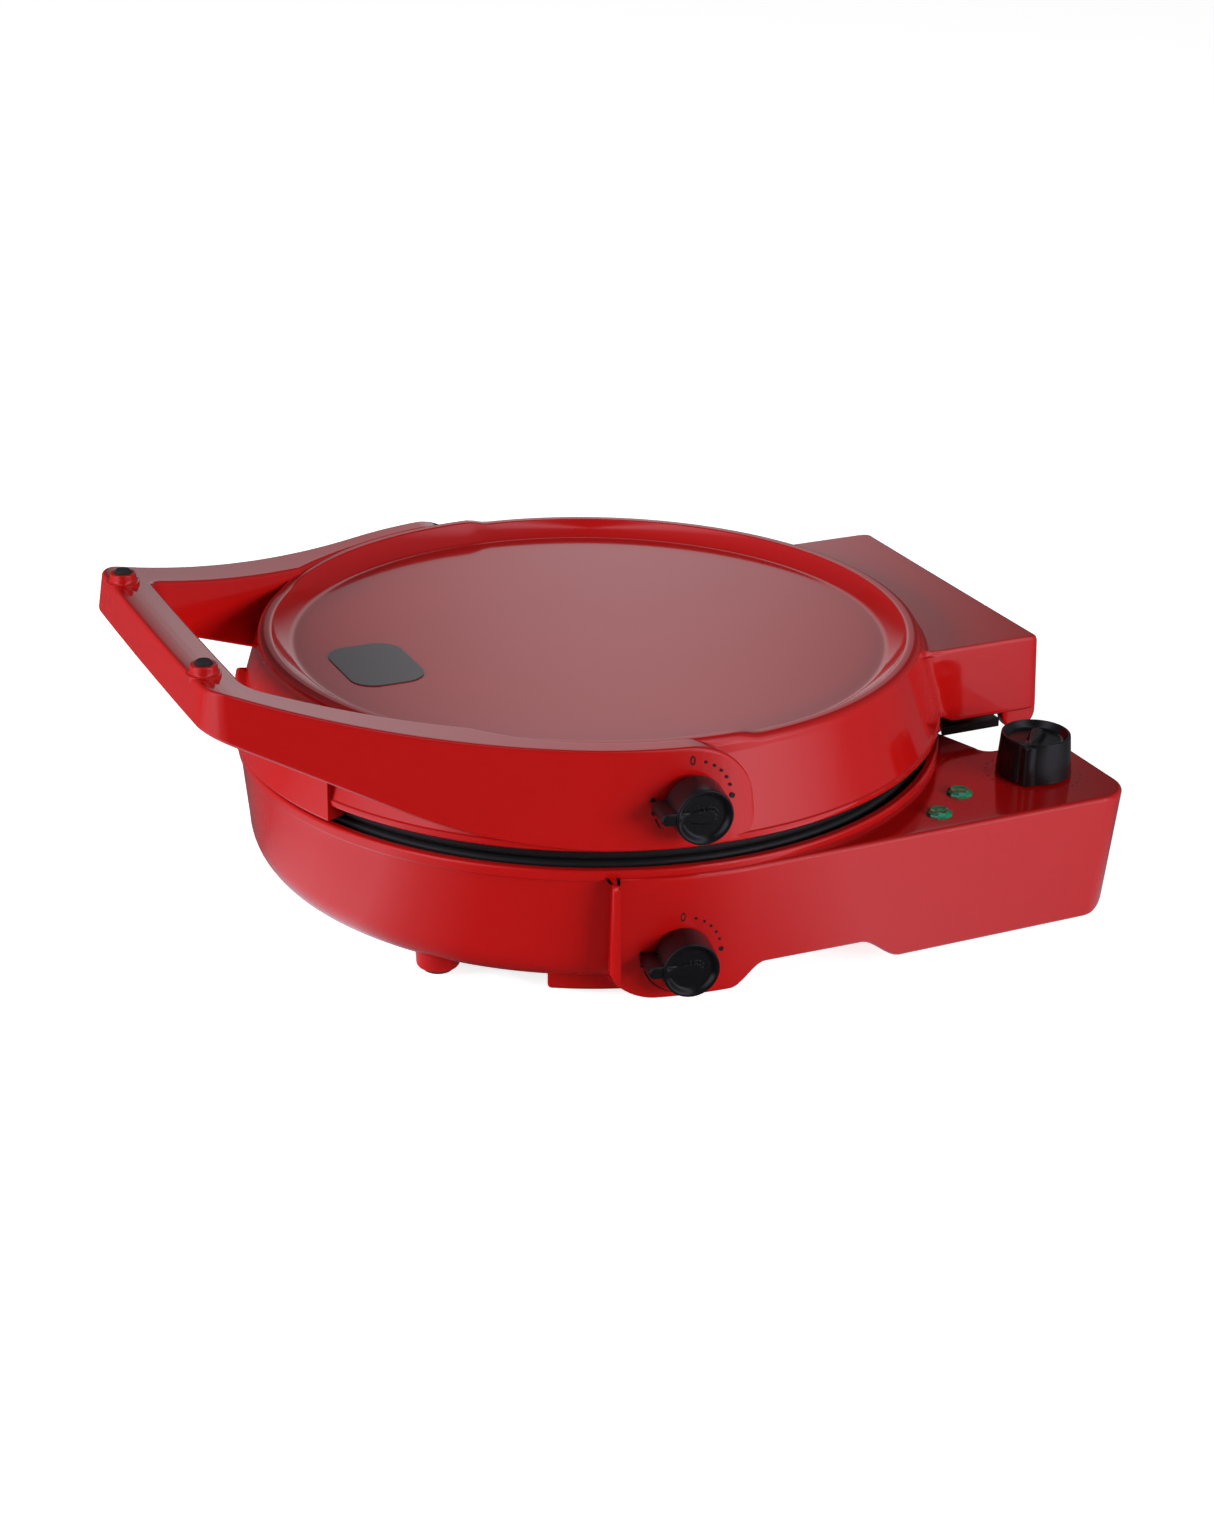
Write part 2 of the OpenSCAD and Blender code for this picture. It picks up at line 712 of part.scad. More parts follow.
module hinge_box(g) {
    corner = 5 - g;
    x = box_x - g;
    y = rear_y - g;
    low = g > 0 ? box_low - 10 : box_low;
    start = drum_r - 72;
    translate([0, 0, low]) linear_extrude(box_z - g - low) union() {
        translate([-x, start]) square([2 * x, y - start - corner]);
        translate([-x + corner, start]) square([2 * (x - corner), y - start]);
        both_sides() translate([x - corner, y - corner]) circle(r = corner);
    }
}

module lid_shell() {
    slot_x = [knuckle_x[0] - 2.5, knuckle_x[1] + 2.5];
    color(red) difference() {
        union() {
            difference() {
                union() {
                    lid_drum();
                    arm_roots(0);
                    difference() {
                        hinge_box(0);
                        // below its lower edge the drum stays open
                        translate([0, 0, -1]) cylinder(r = drum_r + 1.5, h = seam_z + 1);
                    }
                }
                lid_cavity();
                arm_roots(wall);
                hinge_box(wall);
            }
            // hinge ears
            both_sides() at_hinge(box_x - ear_t) cylinder(r = ear_r, h = ear_t);
        }
        at_hinge(0) cylinder(r = rod_r + run_gap, h = 2 * rod_x + 0.4, center = true);
        // slots for the base's hinge arms when the lid lies open
        both_sides() translate([slot_x[0], rear_y - wall - 1, 0])
            cube([slot_x[1] - slot_x[0], wall + 2, hinge_z + 18]);
        at_upper_dial() translate([0, 0, -20]) cylinder(r = bush_r + touch, h = 40);
        handle_screw_places() cylinder(r = screw_r + 0.25, h = 40, center = true);
    }
}

module handle_screw_places() {
    for (h = [18, 30]) both_sides() facing(47, drum_r - 12, seam_z + h) children();
}

module lid_liner() {
    color(black) translate([0, 0, seam_z + 1]) difference() {
        cylinder(r = drum_r - wall - 2 * liner_gap, h = liner_t);
        translate([0, 0, -1]) cylinder(r = plate_r + liner_gap, h = 2 + liner_t);
        // room for the hinge housing's cavity
        translate([-box_x, notch_front - 14, -1]) cube([2 * box_x, big, 2 + liner_t]);
    }
}

// Cover that closes the hinge housing from below
module rear_cover() {
    slot_x = [knuckle_x[0] - 3, knuckle_x[1] + 3];
    cover_h = 4.3;
    start = notch_front - 24;
    color(black) difference() {
        translate([-box_x, start, box_low - cover_h - touch])
            cube([2 * box_x, hinge_y - ear_r - 2 - start, cover_h]);
        cylinder(r = drum_r + 1.5, h = big);
        both_sides() translate([slot_x[0], drum_r + 8, 0]) cube([slot_x[1] - slot_x[0], big, big]);
    }
}

// ---- Handle ----

// Corner of an outline at a distance d from the arm's outer line and y from the middle, with rounding r
function corner_centre(d, y, r) = [(arm_out - d - r - (y - r) * sin(arm_angle)) / cos(arm_angle), -y + r];
function handle_side(d, y, r) = let (c = corner_centre(d, y, r)) concat(
    [[(arm_out - d) * cos(arm_angle), -(arm_out - d) * sin(arm_angle)]],
    arc(c[0], c[1], r, -arm_angle, -90, 8));
function flipped(p) = [for (i = [len(p) - 1 : -1 : 0]) [-p[i][0], p[i][1]]];
function outline(d, y, r) = let (p = handle_side(d, y, r)) concat(p, flipped(p), [[0, 0]]);

// Side view of the arms: both edges sweep up to the crossbar
module arm_side() {
    start = 163 - handle_y;                 // where they begin to rise
    top_r = 465;
    low_r = 207;
    rise = 24.2;                            // final slope of the lower edge, in degrees
    turn = asin((handle_y + start) / top_r);
    low_end = [start - low_r * sin(rise), seam_z + low_r * (1 - cos(rise))];
    polygon(concat(
        [[0, pod_top]],
        arc(start, pod_top + top_r, top_r, 270, 270 - turn, 16),
        [[-handle_y - 1, low_end[1] + (handle_y + 1 + low_end[0]) * tan(rise)]],
        arc(start, seam_z + low_r, low_r, 270 - rise, 270, 12),
        [[0, seam_z]]));
}

tower_r = 6.4;                              // bosses under the handle's feet
tower_y = 10.4 - handle_y;
cap_r = 3.9;                                // caps in those bosses

module handle() {
    color(red) difference() {
        union() {
            intersection() {
                linear_extrude(big) difference() {
                    polygon(outline(0, handle_y, 14));
                    polygon(outline(arm_w, handle_y - bar_w, 9));
                }
                along_x(-big / 2, big / 2) arm_side();
            }
            // bosses under the handle's feet
            both_sides() translate([handle_foot_x, tower_y, bar_z - 12]) {
                cylinder(r = tower_r, h = 15);
                translate([0, 0, 15 - eps]) cylinder(r1 = tower_r, r2 = tower_r - 1.2, h = 1.2);
            }
        }
        lid_drum();
        cylinder(r = rim_r - 1, h = big);
        both_sides() rotate(-arm_angle) cube([big, big, big]);
        both_sides() translate([handle_foot_x, tower_y, bar_z + 1.2]) cylinder(r = cap_r + touch, h = 10);
        handle_screw_places() cylinder(r = screw_bore, h = 20);
    }
}

module handle_feet() {
    color(black) both_sides() translate([handle_foot_x, tower_y, bar_z + 1.2]) {
        cylinder(r = cap_r, h = 3);
        translate([0, 0, 3]) cylinder(r1 = cap_r, r2 = cap_r - 0.7, h = handle_foot_h + seam_z - bar_z - 4.2);
    }
}

module handle_screws() {
    color(steel) handle_screw_places() translate([0, 0, -6]) {
        cylinder(r = screw_r, h = 24);
        cylinder(r = head_r, h = head_h);
    }
}

// Block that hangs over the plates' front edge between the arms
module front_skirt() {
    half = 67;
    drop = 7;
    color(red) difference() {
        intersection() {
            translate([0, 0, seam_z - drop]) cylinder(r = drum_r + 3, h = drop + 38);
            translate([-half, -big, 0]) cube([2 * half, big, big]);
        }
        lid_drum();
        cylinder(r = rim_r, h = big);
        cylinder(r = drum_r - wall, h = seam_z + eps);
        handle_gap_cut();
    }
}

// Space that the arms take, with a little clearance
module handle_gap_cut() {
    both_sides() rotate(-arm_angle) translate([arm_out - arm_w - 2 * touch, -big, 0]) cube([60, big, big]);
}

module label_plate() {
    size = [52, 36];
    corner = 12;
    inner = [size[0] / 2 - corner, size[1] / 2 - corner];
    color(black) translate([-1, 62 - drum_r, recess_z]) linear_extrude(0.5) union() {
        square([size[0], 2 * inner[1]], center = true);
        square([2 * inner[0], size[1]], center = true);
        for (x = [-1, 1], y = [-1, 1]) translate([x * inner[0], y * inner[1]]) circle(r = corner);
    }
}

placed() base_shell();
placed() base_liner();
placed() bottom_cover();
placed() bottom_screws();
placed() rubber_feet();
placed() lower_plate();
placed() lower_element();
placed() lower_reflector();
placed() lower_posts();
placed() lower_thermostat();
placed() timer_mechanism();
placed() front_lamp_lens();
placed() rear_lamp_lens();
placed() neon_lamps();
placed() terminal_block();
placed() thermal_fuse();
placed() cord_inlet();
placed() hinge_rod();
placed() hinge_clips();
placed() lid_shell();
placed() handle();
placed() handle_feet();
placed() handle_screws();
placed() front_skirt();
placed() rear_cover();
placed() lid_liner();
placed() upper_plate();
placed() upper_element();
placed() upper_reflector();
placed() upper_posts();
placed() upper_thermostat();
placed() label_plate();
placed() lower_dial();
placed() lower_spindle();
placed() upper_dial();
placed() upper_spindle();
placed() timer_knob();
placed() timer_spindle();
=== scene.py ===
# A round countertop ring-cake maker, finished piece by piece in the order in which it is put together.
# Lengths are millimetres round the drum's axis, with Z above the table, until make() turns them to metres.
import math

import bmesh
import bpy
import numpy as np
from mathutils import Matrix, Vector


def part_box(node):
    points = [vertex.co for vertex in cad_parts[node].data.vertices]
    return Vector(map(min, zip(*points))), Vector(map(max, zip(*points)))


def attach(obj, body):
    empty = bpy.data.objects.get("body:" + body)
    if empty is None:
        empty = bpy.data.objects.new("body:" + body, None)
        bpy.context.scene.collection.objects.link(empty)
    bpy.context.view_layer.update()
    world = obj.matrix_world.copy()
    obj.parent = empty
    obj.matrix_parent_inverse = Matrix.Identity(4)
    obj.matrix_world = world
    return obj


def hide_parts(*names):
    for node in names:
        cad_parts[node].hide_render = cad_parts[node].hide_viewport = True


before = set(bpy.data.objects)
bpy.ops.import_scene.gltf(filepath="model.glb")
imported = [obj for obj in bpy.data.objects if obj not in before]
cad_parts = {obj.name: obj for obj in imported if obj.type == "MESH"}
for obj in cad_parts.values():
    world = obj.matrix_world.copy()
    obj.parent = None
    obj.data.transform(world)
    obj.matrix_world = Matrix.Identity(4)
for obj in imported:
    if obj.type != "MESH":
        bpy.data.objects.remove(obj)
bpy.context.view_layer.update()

# ---- Red tub of the base ----
# The deep round tub is injection-moulded in glossy red plastic. It carries the wings with the deck, the
# legs over the feet and the two hinge arms, all in one shot of the same plastic, with small moulded radii.
plate_low, plate_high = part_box("lower_plate")
axis_x, axis_y = (plate_low.x + plate_high.x) / 2, (plate_low.y + plate_high.y) / 2
seam = 1000 * plate_high.z + 8.3        # lower edge of the lid
drum_r = 500 * (plate_high.x - plate_low.x) + 8
deck = seam - 12.5
ring_top = seam - 9
rear = drum_r + 34
flank = drum_r + 1.85
drum_floor = 9.5
floor_r = 20                            # radius of the round corner between side and floor
# how far the side stands in under the ring, and further in at the floor
ring_step, tub_lean = 0.8, 4.2
ring_h = 6.2
side_wall, floor_wall, cover_r = 2.6, 3, 136


def bend(centre, radius, start, end, step=6):
    """Points of an arc about a centre, from one angle to another in degrees, a step apart."""
    count = max(2, int(abs(end - start) / step) + 1)
    a = np.radians(np.linspace(start, end, count))
    return np.stack([centre[0] + radius * np.cos(a), centre[1] + radius * np.sin(a)], 1)


def spaced(points, step):
    """The same closed line with points added on its long stretches, so that none is longer than step."""
    start = np.asarray(points, float)
    stretch = np.roll(start, -1, 0) - start
    count = np.maximum(1, np.ceil(np.hypot(*stretch.T) / step)).astype(int)
    row = np.repeat(np.arange(len(start)), count)
    share = (np.arange(len(row)) - np.repeat(np.cumsum(count) - count, count)) / np.repeat(count, count)
    return start[row] + stretch[row] * share[:, None]


def smoothly(x, low, high):
    """0 below low and 1 above high, with a smooth cubic in between."""
    t = np.clip((np.asarray(x, float) - low) / (high - low), 0, 1)
    return t * t * (3 - 2 * t)


def soft_max(a, b, k):
    """The larger of two lengths, with a fillet of about k where they are alike."""
    h = np.clip(0.5 + 0.5 * (a - b) / k, 0, 1)
    return b + (a - b) * h + k * h * (1 - h)


def grid(points, wrap_rows=False, wrap_columns=False):
    """Points, corners and counts of a sheet of rows by columns, closed on itself either way if asked."""
    rows, columns = points.shape[:2]
    i = np.arange(rows if wrap_rows else rows - 1)[:, None]
    j = np.arange(columns if wrap_columns else columns - 1)[None, :]
    k, m = (i + 1) % rows, (j + 1) % columns
    quads = np.broadcast_arrays(i * columns + j, i * columns + m, k * columns + m, k * columns + j)
    return points.reshape(-1, 3), np.stack(quads, -1).ravel(), np.full(quads[0].size, 4)


def turned(profile, turns=192, centre=(0, 0), closed=True):
    """A profile of radius and height, carried round a vertical axis."""
    a = np.linspace(0, 2 * np.pi, turns, endpoint=False)[:, None]
    r, z = np.asarray(profile, float).T
    ring = np.stack([centre[0] + r * np.cos(a), centre[1] + r * np.sin(a), z + 0 * a], -1)
    return grid(ring, True, closed)


def inward(loop):
    """For each point of an anticlockwise closed loop, the step that moves both its sides in by 1."""
    ahead = np.roll(loop, -1, 0) - loop
    ahead /= np.maximum(1e-9, np.hypot(*ahead.T))[:, None]
    behind = np.roll(ahead, 1, 0)
    n = np.stack([-(ahead + behind)[:, 1], (ahead + behind)[:, 0]], 1)
    n /= np.maximum(1e-9, np.hypot(*n.T))[:, None]
    side = np.stack([-ahead[:, 1], ahead[:, 0]], 1)
    return n / np.maximum(0.5, (n * side).sum(1))[:, None]


def read_back(bm):
    """Points, corners and counts of a mesh in work, which is then let go."""
    mesh = bpy.data.meshes.new("work")
    bm.to_mesh(mesh)
    bm.free()
    points = np.zeros(3 * len(mesh.vertices))
    corners = np.zeros(len(mesh.loops), int)
    counts = np.zeros(len(mesh.polygons), int)
    mesh.vertices.foreach_get("co", points)
    mesh.loops.foreach_get("vertex_index", corners)
    mesh.polygons.foreach_get("loop_total", counts)
    bpy.data.meshes.remove(mesh)
    return points.reshape(-1, 3), corners, counts


def into_mesh(name, part, scale=1.0):
    """A mesh from points, corners and counts."""
    points, corners, counts = part
    mesh = bpy.data.meshes.new(name)
    mesh.from_pydata(points * scale, [], np.split(corners, np.cumsum(counts)[:-1]))
    return mesh


def height_at(surface, y):
    """Heights at some Ys of an underside or top that is a number or a function of Y."""
    return surface(y) if callable(surface) else np.full(len(y), float(surface))


def block(loop, low, high, round_low=1.0, round_high=1.0, draft=0.0, cuts=()):
    """A closed block over a plan outline. Its underside and top are numbers or functions of Y, its edges
    are quarter circles, and its sides lean out downwards by the draft. Cuts are the Ys of extra edges."""
    loop = np.asarray(loop, float)
    area = (loop[:, 0] * np.roll(loop[:, 1], -1) - np.roll(loop[:, 0], -1) * loop[:, 1]).sum()
    loop = loop if area > 0 else loop[::-1]
    fall = draft * (height_at(high, loop[:, 1]) - height_at(low, loop[:, 1]))
    # the flat caps start a little further in than the round edges end
    cap_low, cap_high = 1.4 * round_low + 0.6, 1.4 * round_high + 0.6
    a = np.radians(np.linspace(0, 90, 6))
    depth = np.concatenate([[cap_low], round_low * (1 - np.cos(a[::-1])), round_high * (1 - np.cos(a)),
                            [cap_high]])
    level = np.concatenate([[-round_low], -round_low * np.sin(a[::-1]), 1 + round_high * np.sin(a),
                            [1 + round_high]])
    lean = depth[:, None] - fall * np.clip(1 - level, 0, 1)[:, None]
    ring = loop + inward(loop) * lean[:, :, None]
    sheet = np.concatenate([ring, np.repeat(level[:, None], len(loop), 1)[:, :, None]], 2)
    points, corners, counts = grid(sheet, False, True)
    last = (len(level) - 1) * len(loop)
    corners = np.concatenate([corners, np.arange(len(loop))[::-1], np.arange(last, last + len(loop))])
    counts = np.concatenate([counts, [len(loop), len(loop)]])
    if len(cuts):
        mesh = into_mesh("work", (points, corners, counts))
        bm = bmesh.new()
        bm.from_mesh(mesh)
        bpy.data.meshes.remove(mesh)
        for y in cuts:
            bmesh.ops.bisect_plane(bm, geom=bm.verts[:] + bm.edges[:] + bm.faces[:], plane_co=(0, y, 0),
                                   plane_no=(0, 1, 0), dist=0.02)
        points, corners, counts = read_back(bm)
    foot, head = height_at(low, points[:, 1]), height_at(high, points[:, 1])
    share = points[:, 2]                # 0 to 1 up the side, and past it in millimetres on the round edges
    middle = foot + round_low + (head - round_high - foot - round_low) * np.clip(share, 0, 1)
    z = middle + np.minimum(share, 0) + np.maximum(share - 1, 0)
    return np.column_stack([points[:, :2], z]), corners, counts


def mirrored(part):
    """The same part on the other side of the middle line."""
    return part[0] * np.array([-1, 1, 1]), part[1], part[2]


def make(name, parts, body, material, replaces=(), sharp=40):
    """One piece from several parts: placed round the drum's axis, welded, turned outwards and shaded."""
    start = np.cumsum([0] + [len(part[0]) for part in parts])
    points = np.vstack([part[0] for part in parts]) + 1000 * np.array([axis_x, axis_y, 0])
    corners = np.concatenate([part[1] + first for part, first in zip(parts, start)])
    mesh = into_mesh(name, (points, corners, np.concatenate([part[2] for part in parts])), 0.001)
    bm = bmesh.new()
    bm.from_mesh(mesh)
    bmesh.ops.remove_doubles(bm, verts=bm.verts, dist=2e-6)
    bmesh.ops.dissolve_degenerate(bm, edges=bm.edges, dist=1e-6)
    bmesh.ops.recalc_face_normals(bm, faces=bm.faces)
    bm.to_mesh(mesh)
    bm.free()
    mesh.polygons.foreach_set("use_smooth", np.ones(len(mesh.polygons), bool))
    mesh.set_sharp_from_angle(angle=math.radians(sharp))
    mesh.materials.append(material)
    piece = bpy.data.objects.new(name, mesh)
    bpy.context.scene.collection.objects.link(piece)
    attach(piece, body)
    if replaces:
        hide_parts(*replaces)
    return piece


def even_shading(piece):
    """Normals weighted by area, so that flat faces stay flat beside their rounded edges."""
    weighted = piece.modifiers.new("even_shading", "WEIGHTED_NORMAL")
    weighted.keep_sharp = True
    weighted.weight = 80


def moulded_surface():
    """Shader group for moulded and sprayed finishes: a colour that drifts a little over the piece, fine
    grain in the surface and patches of more and less gloss."""
    group = bpy.data.node_groups.new("moulded_surface", "ShaderNodeTree")
    sockets = [("Color", "NodeSocketColor", (0.5, 0.5, 0.5, 1)), ("Drift", "NodeSocketFloat", 0.1),
               ("Grain Scale", "NodeSocketFloat", 900.0), ("Grain Depth", "NodeSocketFloat", 0.02),
               ("Gloss Low", "NodeSocketFloat", 0.1), ("Gloss High", "NodeSocketFloat", 0.2)]
    for name, kind, value in sockets:
        group.interface.new_socket(name=name, in_out="INPUT", socket_type=kind).default_value = value
    for name, kind in (("Color", "Color"), ("Roughness", "Float"), ("Normal", "Vector")):
        group.interface.new_socket(name=name, in_out="OUTPUT", socket_type="NodeSocket" + kind)
    node = group.nodes.new
    put = group.links.new
    entry, leave = node("NodeGroupInput"), node("NodeGroupOutput")
    place = node("ShaderNodeTexCoord")
    drift = node("ShaderNodeTexNoise")
    drift.inputs["Scale"].default_value = 14
    drift.inputs["Detail"].default_value = 3
    grain = node("ShaderNodeTexNoise")
    grain.inputs["Detail"].default_value = 4
    shade = node("ShaderNodeMapRange")
    shade.inputs["To Min"].default_value = 1
    darker = node("ShaderNodeMath")
    darker.operation = "SUBTRACT"
    darker.inputs[0].default_value = 1
    tint = node("ShaderNodeVectorMath")
    tint.operation = "SCALE"
    gloss = node("ShaderNodeMapRange")
    bump = node("ShaderNodeBump")
    bump.inputs["Distance"].default_value = 0.0005
    put(place.outputs["Object"], drift.inputs["Vector"])
    put(place.outputs["Object"], grain.inputs["Vector"])
    put(entry.outputs["Grain Scale"], grain.inputs["Scale"])
    put(entry.outputs["Drift"], darker.inputs[1])
    put(drift.outputs["Fac"], shade.inputs["Value"])
    put(darker.outputs[0], shade.inputs["To Max"])
    put(entry.outputs["Color"], tint.inputs[0])
    put(shade.outputs["Result"], tint.inputs["Scale"])
    put(drift.outputs["Fac"], gloss.inputs["Value"])
    put(entry.outputs["Gloss Low"], gloss.inputs["To Min"])
    put(entry.outputs["Gloss High"], gloss.inputs["To Max"])
    put(grain.outputs["Fac"], bump.inputs["Height"])
    put(entry.outputs["Grain Depth"], bump.inputs["Strength"])
    put(tint.outputs["Vector"], leave.inputs["Color"])
    put(gloss.outputs["Result"], leave.inputs["Roughness"])
    put(bump.outputs["Normal"], leave.inputs["Normal"])
    return group


surface_group = moulded_surface()


def finish_of(name, color, drift, grain, gloss, **plain):
    """A material with the moulded surface, and the plain values of the shader's own sockets. Grain is its
    scale and depth, and gloss the roughness at its smoothest and roughest."""
    material = bpy.data.materials.new(name)
    material.use_nodes = True
    tree = material.node_tree
    shader = tree.nodes["Principled BSDF"]
    group = tree.nodes.new("ShaderNodeGroup")
    group.node_tree = surface_group
    values = {"Color": (*color, 1), "Drift": drift, "Grain Scale": grain[0], "Grain Depth": grain[1],
              "Gloss Low": gloss[0], "Gloss High": gloss[1]}
    for socket, value in values.items():
        group.inputs[socket].default_value = value
    for socket, target in (("Color", "Base Color"), ("Roughness", "Roughness"), ("Normal", "Normal")):
        tree.links.new(group.outputs[socket], shader.inputs[target])
    for socket, value in plain.items():
        shader.inputs[socket.replace("_", " ")].default_value = value
    return material


red_plastic = finish_of("red_plastic", (0.52, 0.006, 0.0055), 0.06, (160, 0.012), (0.10, 0.16),
                        Coat_Weight=0.5, Coat_Roughness=0.04, IOR=1.5)


def drum_side(z):
    """Radius of the tub's outside at a height: a slight lean, then a quarter circle into the floor."""
    side = drum_r - ring_step - tub_lean * np.clip((ring_top - z) / (ring_top - drum_floor - floor_r), 0, 1)
    rise = np.clip((z - drum_floor) / floor_r, 0, 1)
    round_part = drum_r - ring_step - tub_lean - floor_r + floor_r * np.sqrt(1 - (1 - rise) ** 2)
    return np.where(z > drum_floor + floor_r, side, round_part)


heights = np.linspace(drum_floor + floor_r, ring_top - ring_h, 8)
foot_x = drum_r - ring_step - tub_lean - floor_r         # where the round corner leaves the flat floor
tub_profile = np.vstack([
    [[cover_r, drum_floor + floor_wall], [cover_r, drum_floor], [cover_r + 6, drum_floor]],
    bend((foot_x, drum_floor + floor_r), floor_r, -90, 0, 7.5)[1:-1],
    np.stack([drum_side(heights), heights], 1),
    [[drum_r - 0.9, ring_top - 5.2], [drum_r - 0.3, ring_top - 4.8]],
    bend((drum_r - 1.4, ring_top - 1.4), 1.4, 0, 90, 15),
    bend((drum_r - 3.4, ring_top - 1), 1, 90, 180, 15),
    [[drum_r - 4.6, ring_top - 9], [drum_r - 7, ring_top - 11], [drum_r - 7.6, drum_floor + floor_r]],
    bend((foot_x - side_wall, drum_floor + floor_r + floor_wall), floor_r, 0, -90, 15)[1:],
])
wing_low, relief_h = 8, 10.5            # lower edge of the wings, and how far the relief lies above it
front_round, rear_round = 25, 14


def wing_underside(y):
    """Height of the wings' lower edge: a round front, the relief in the middle and a round rear corner."""
    front = front_round - np.sqrt(np.maximum(0, front_round ** 2 - np.minimum(y + 41.8, 0) ** 2))
    relief = relief_h * smoothly(y, -8, 9) * (1 - smoothly(y, 59, 80))
    back = rear_round - np.sqrt(np.maximum(0, rear_round ** 2 - np.maximum(y - rear + rear_round, 0) ** 2))
    return wing_low + np.where(y < 0, front, 0) - smoothly(y, 0, 70) + relief + back


notch_x, notch_y = 103, rear - 42
wing = spaced(np.vstack([
    bend((flank - 7.1, -60.1), 4.4, -80, -25, 12),
    bend((0, 0), flank, -20.5, 0, 1.5),
    bend((flank - 18.6, rear - 18.6), 18, 0, 90, 6),
    bend((notch_x + 4.6, rear - 4.6), 4, 90, 180, 15),
    bend((notch_x - 6, notch_y + 6), 6, 0, -90, 15),
    bend((0, 0), drum_r - 16, 72, -21, 1.5),
]), 9)
wing_cuts = np.concatenate([np.arange(-66, -40, 2), np.arange(-12, 14, 2.5), np.arange(57, 83, 2.5),
                            np.arange(rear - rear_round, rear - 1, 1.2)])
wing_draft, rear_lean = 0.012, 0.14
wing_points, wing_corners, wing_counts = block(wing, wing_underside, deck, 2, 2.2, wing_draft, wing_cuts)
# the rear wall leans forward towards the table
back_part = smoothly(wing_points[:, 1], 150, rear - 8)
wing_points[:, 1] -= rear_lean * back_part * (deck - wing_points[:, 2])
# the wing's inner wall follows the tub just inside its skin
reach = np.hypot(*wing_points[:, :2].T)
hidden = reach < drum_r - 2.9
wing_points[hidden, :2] *= ((drum_side(wing_points[hidden, 2]) - 2.2) / reach[hidden])[:, None]

legs = [(88, -115), (138.75, rear - 32)]
leg_profile = np.vstack([[[0, 1.6]], bend((8.1, 3.6), 2, -90, 0, 15), [[10.5, 11], [0, 11]]])
rib = np.vstack([bend((0, 0), drum_r - 18, -31, -8, 1.5), bend((0, 0), drum_r - 27, -8, -31, 1.5)])

# hinge arms, drawn in side view with Y across and Z up, then set upright
hinge_y, hinge_z = rear - 10, seam - 4
arm_side = np.vstack([
    [[drum_r - 3.5, deck - 14], [hinge_y - 6, hinge_z - 13]],
    bend((hinge_y, hinge_z), 7.5, -60, 120, 10),
    [[drum_r + 8, deck - 0.2], [drum_r - 3.5, deck - 0.2]]])


def upright(part):
    """Turns a block drawn with Y across and Z up, so that its height lies along X."""
    return part[0][:, [2, 0, 1]], part[1], part[2]


hinge_arm = upright(block(spaced(arm_side, 6), 32, 50, 1, 1))
right_parts = [(wing_points, wing_corners, wing_counts), block(spaced(rib, 6), 2.0, 11, 3.4, 0.2), hinge_arm]
right_parts += [turned(leg_profile, 48, leg, False) for leg in legs]
tub = make("base_tub", [turned(tub_profile, 240)] + right_parts + [mirrored(p) for p in right_parts],
           "base", red_plastic, ["base_shell"])
even_shading(tub)

# ---- Underside and what the tub holds ----
# A flat black cover with cooling slots closes the tub from below with four screws. Four rubber feet push
# into the legs, and the terminal block, fuse and cord inlet sit in the left wing.
black_plastic = finish_of("black_plastic", (0.008, 0.008, 0.0095), 0.25, (1800, 0.04), (0.20, 0.30),
                          IOR=1.46)
foot_rubber = finish_of("foot_rubber", (0.02, 0.02, 0.02), 0.3, (1500, 0.3), (0.6, 0.8))
zinc_steel = finish_of("zinc_steel", (0.55, 0.55, 0.57), 0.2, (700, 0.08), (0.25, 0.4), Metallic=1.0)
ceramic_white = finish_of("ceramic_white", (0.78, 0.76, 0.70), 0.08, (1500, 0.12), (0.45, 0.6))


def dress(material, *names):
    """Gives CAD nodes that are shown as they are their finish."""
    for name in names:
        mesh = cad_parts[name].data
        mesh.materials.clear()
        mesh.materials.append(material)


dress(black_plastic, "base_liner", "bottom_cover", "cord_inlet")
pad_profile = [[0, 3], [7.6, 3], [7.6, 0.6], [7.0, 0], [0.0, 0]]
pads = [turned(pad_profile, 48, (side * x, y), False) for x, y in legs for side in (-1, 1)]
make("foot_pads", pads, "base", foot_rubber, ["rubber_feet"])
dress(zinc_steel, "bottom_screws", "thermal_fuse", "lower_posts")
dress(ceramic_white, "terminal_block", "neon_lamps", "lower_thermostat", "timer_mechanism")

# ---- Cooking plates ----
# Two cast aluminium plates meet at the seam, each with seven half-ring moulds and a black non-stick
# coating sprayed over the cast surface. The rounded rims of both plates show as two black bands.
plate_coating = finish_of("plate_coating", (0.016, 0.016, 0.018), 0.35, (2600, 0.35), (0.26, 0.4), IOR=1.5)
part_z, plate_r, skirt_h = seam - 8, drum_r - 8, 9
ring_r, tube_r, lip, mould_wall = 26, 14, 1.4, 3
mould_angles = np.radians(30 + 60 * np.arange(6))
moulds = np.vstack([[0, 0], 95 * np.stack([np.cos(mould_angles), np.sin(mould_angles)], 1)])


def holed_disc(radii, centres, z):
    """A flat face between a large circle and the circles round each centre."""
    bm = bmesh.new()
    turns = [240] + [96] * len(centres)
    middles = np.vstack([[0, 0], centres])
    for (x, y), radius, count in zip(middles, radii, turns):
        bmesh.ops.create_circle(bm, segments=count, radius=radius, matrix=Matrix.Translation((x, y, z)))
    bmesh.ops.triangle_fill(bm, edges=bm.edges[:], use_beauty=True)
    return read_back(bm)


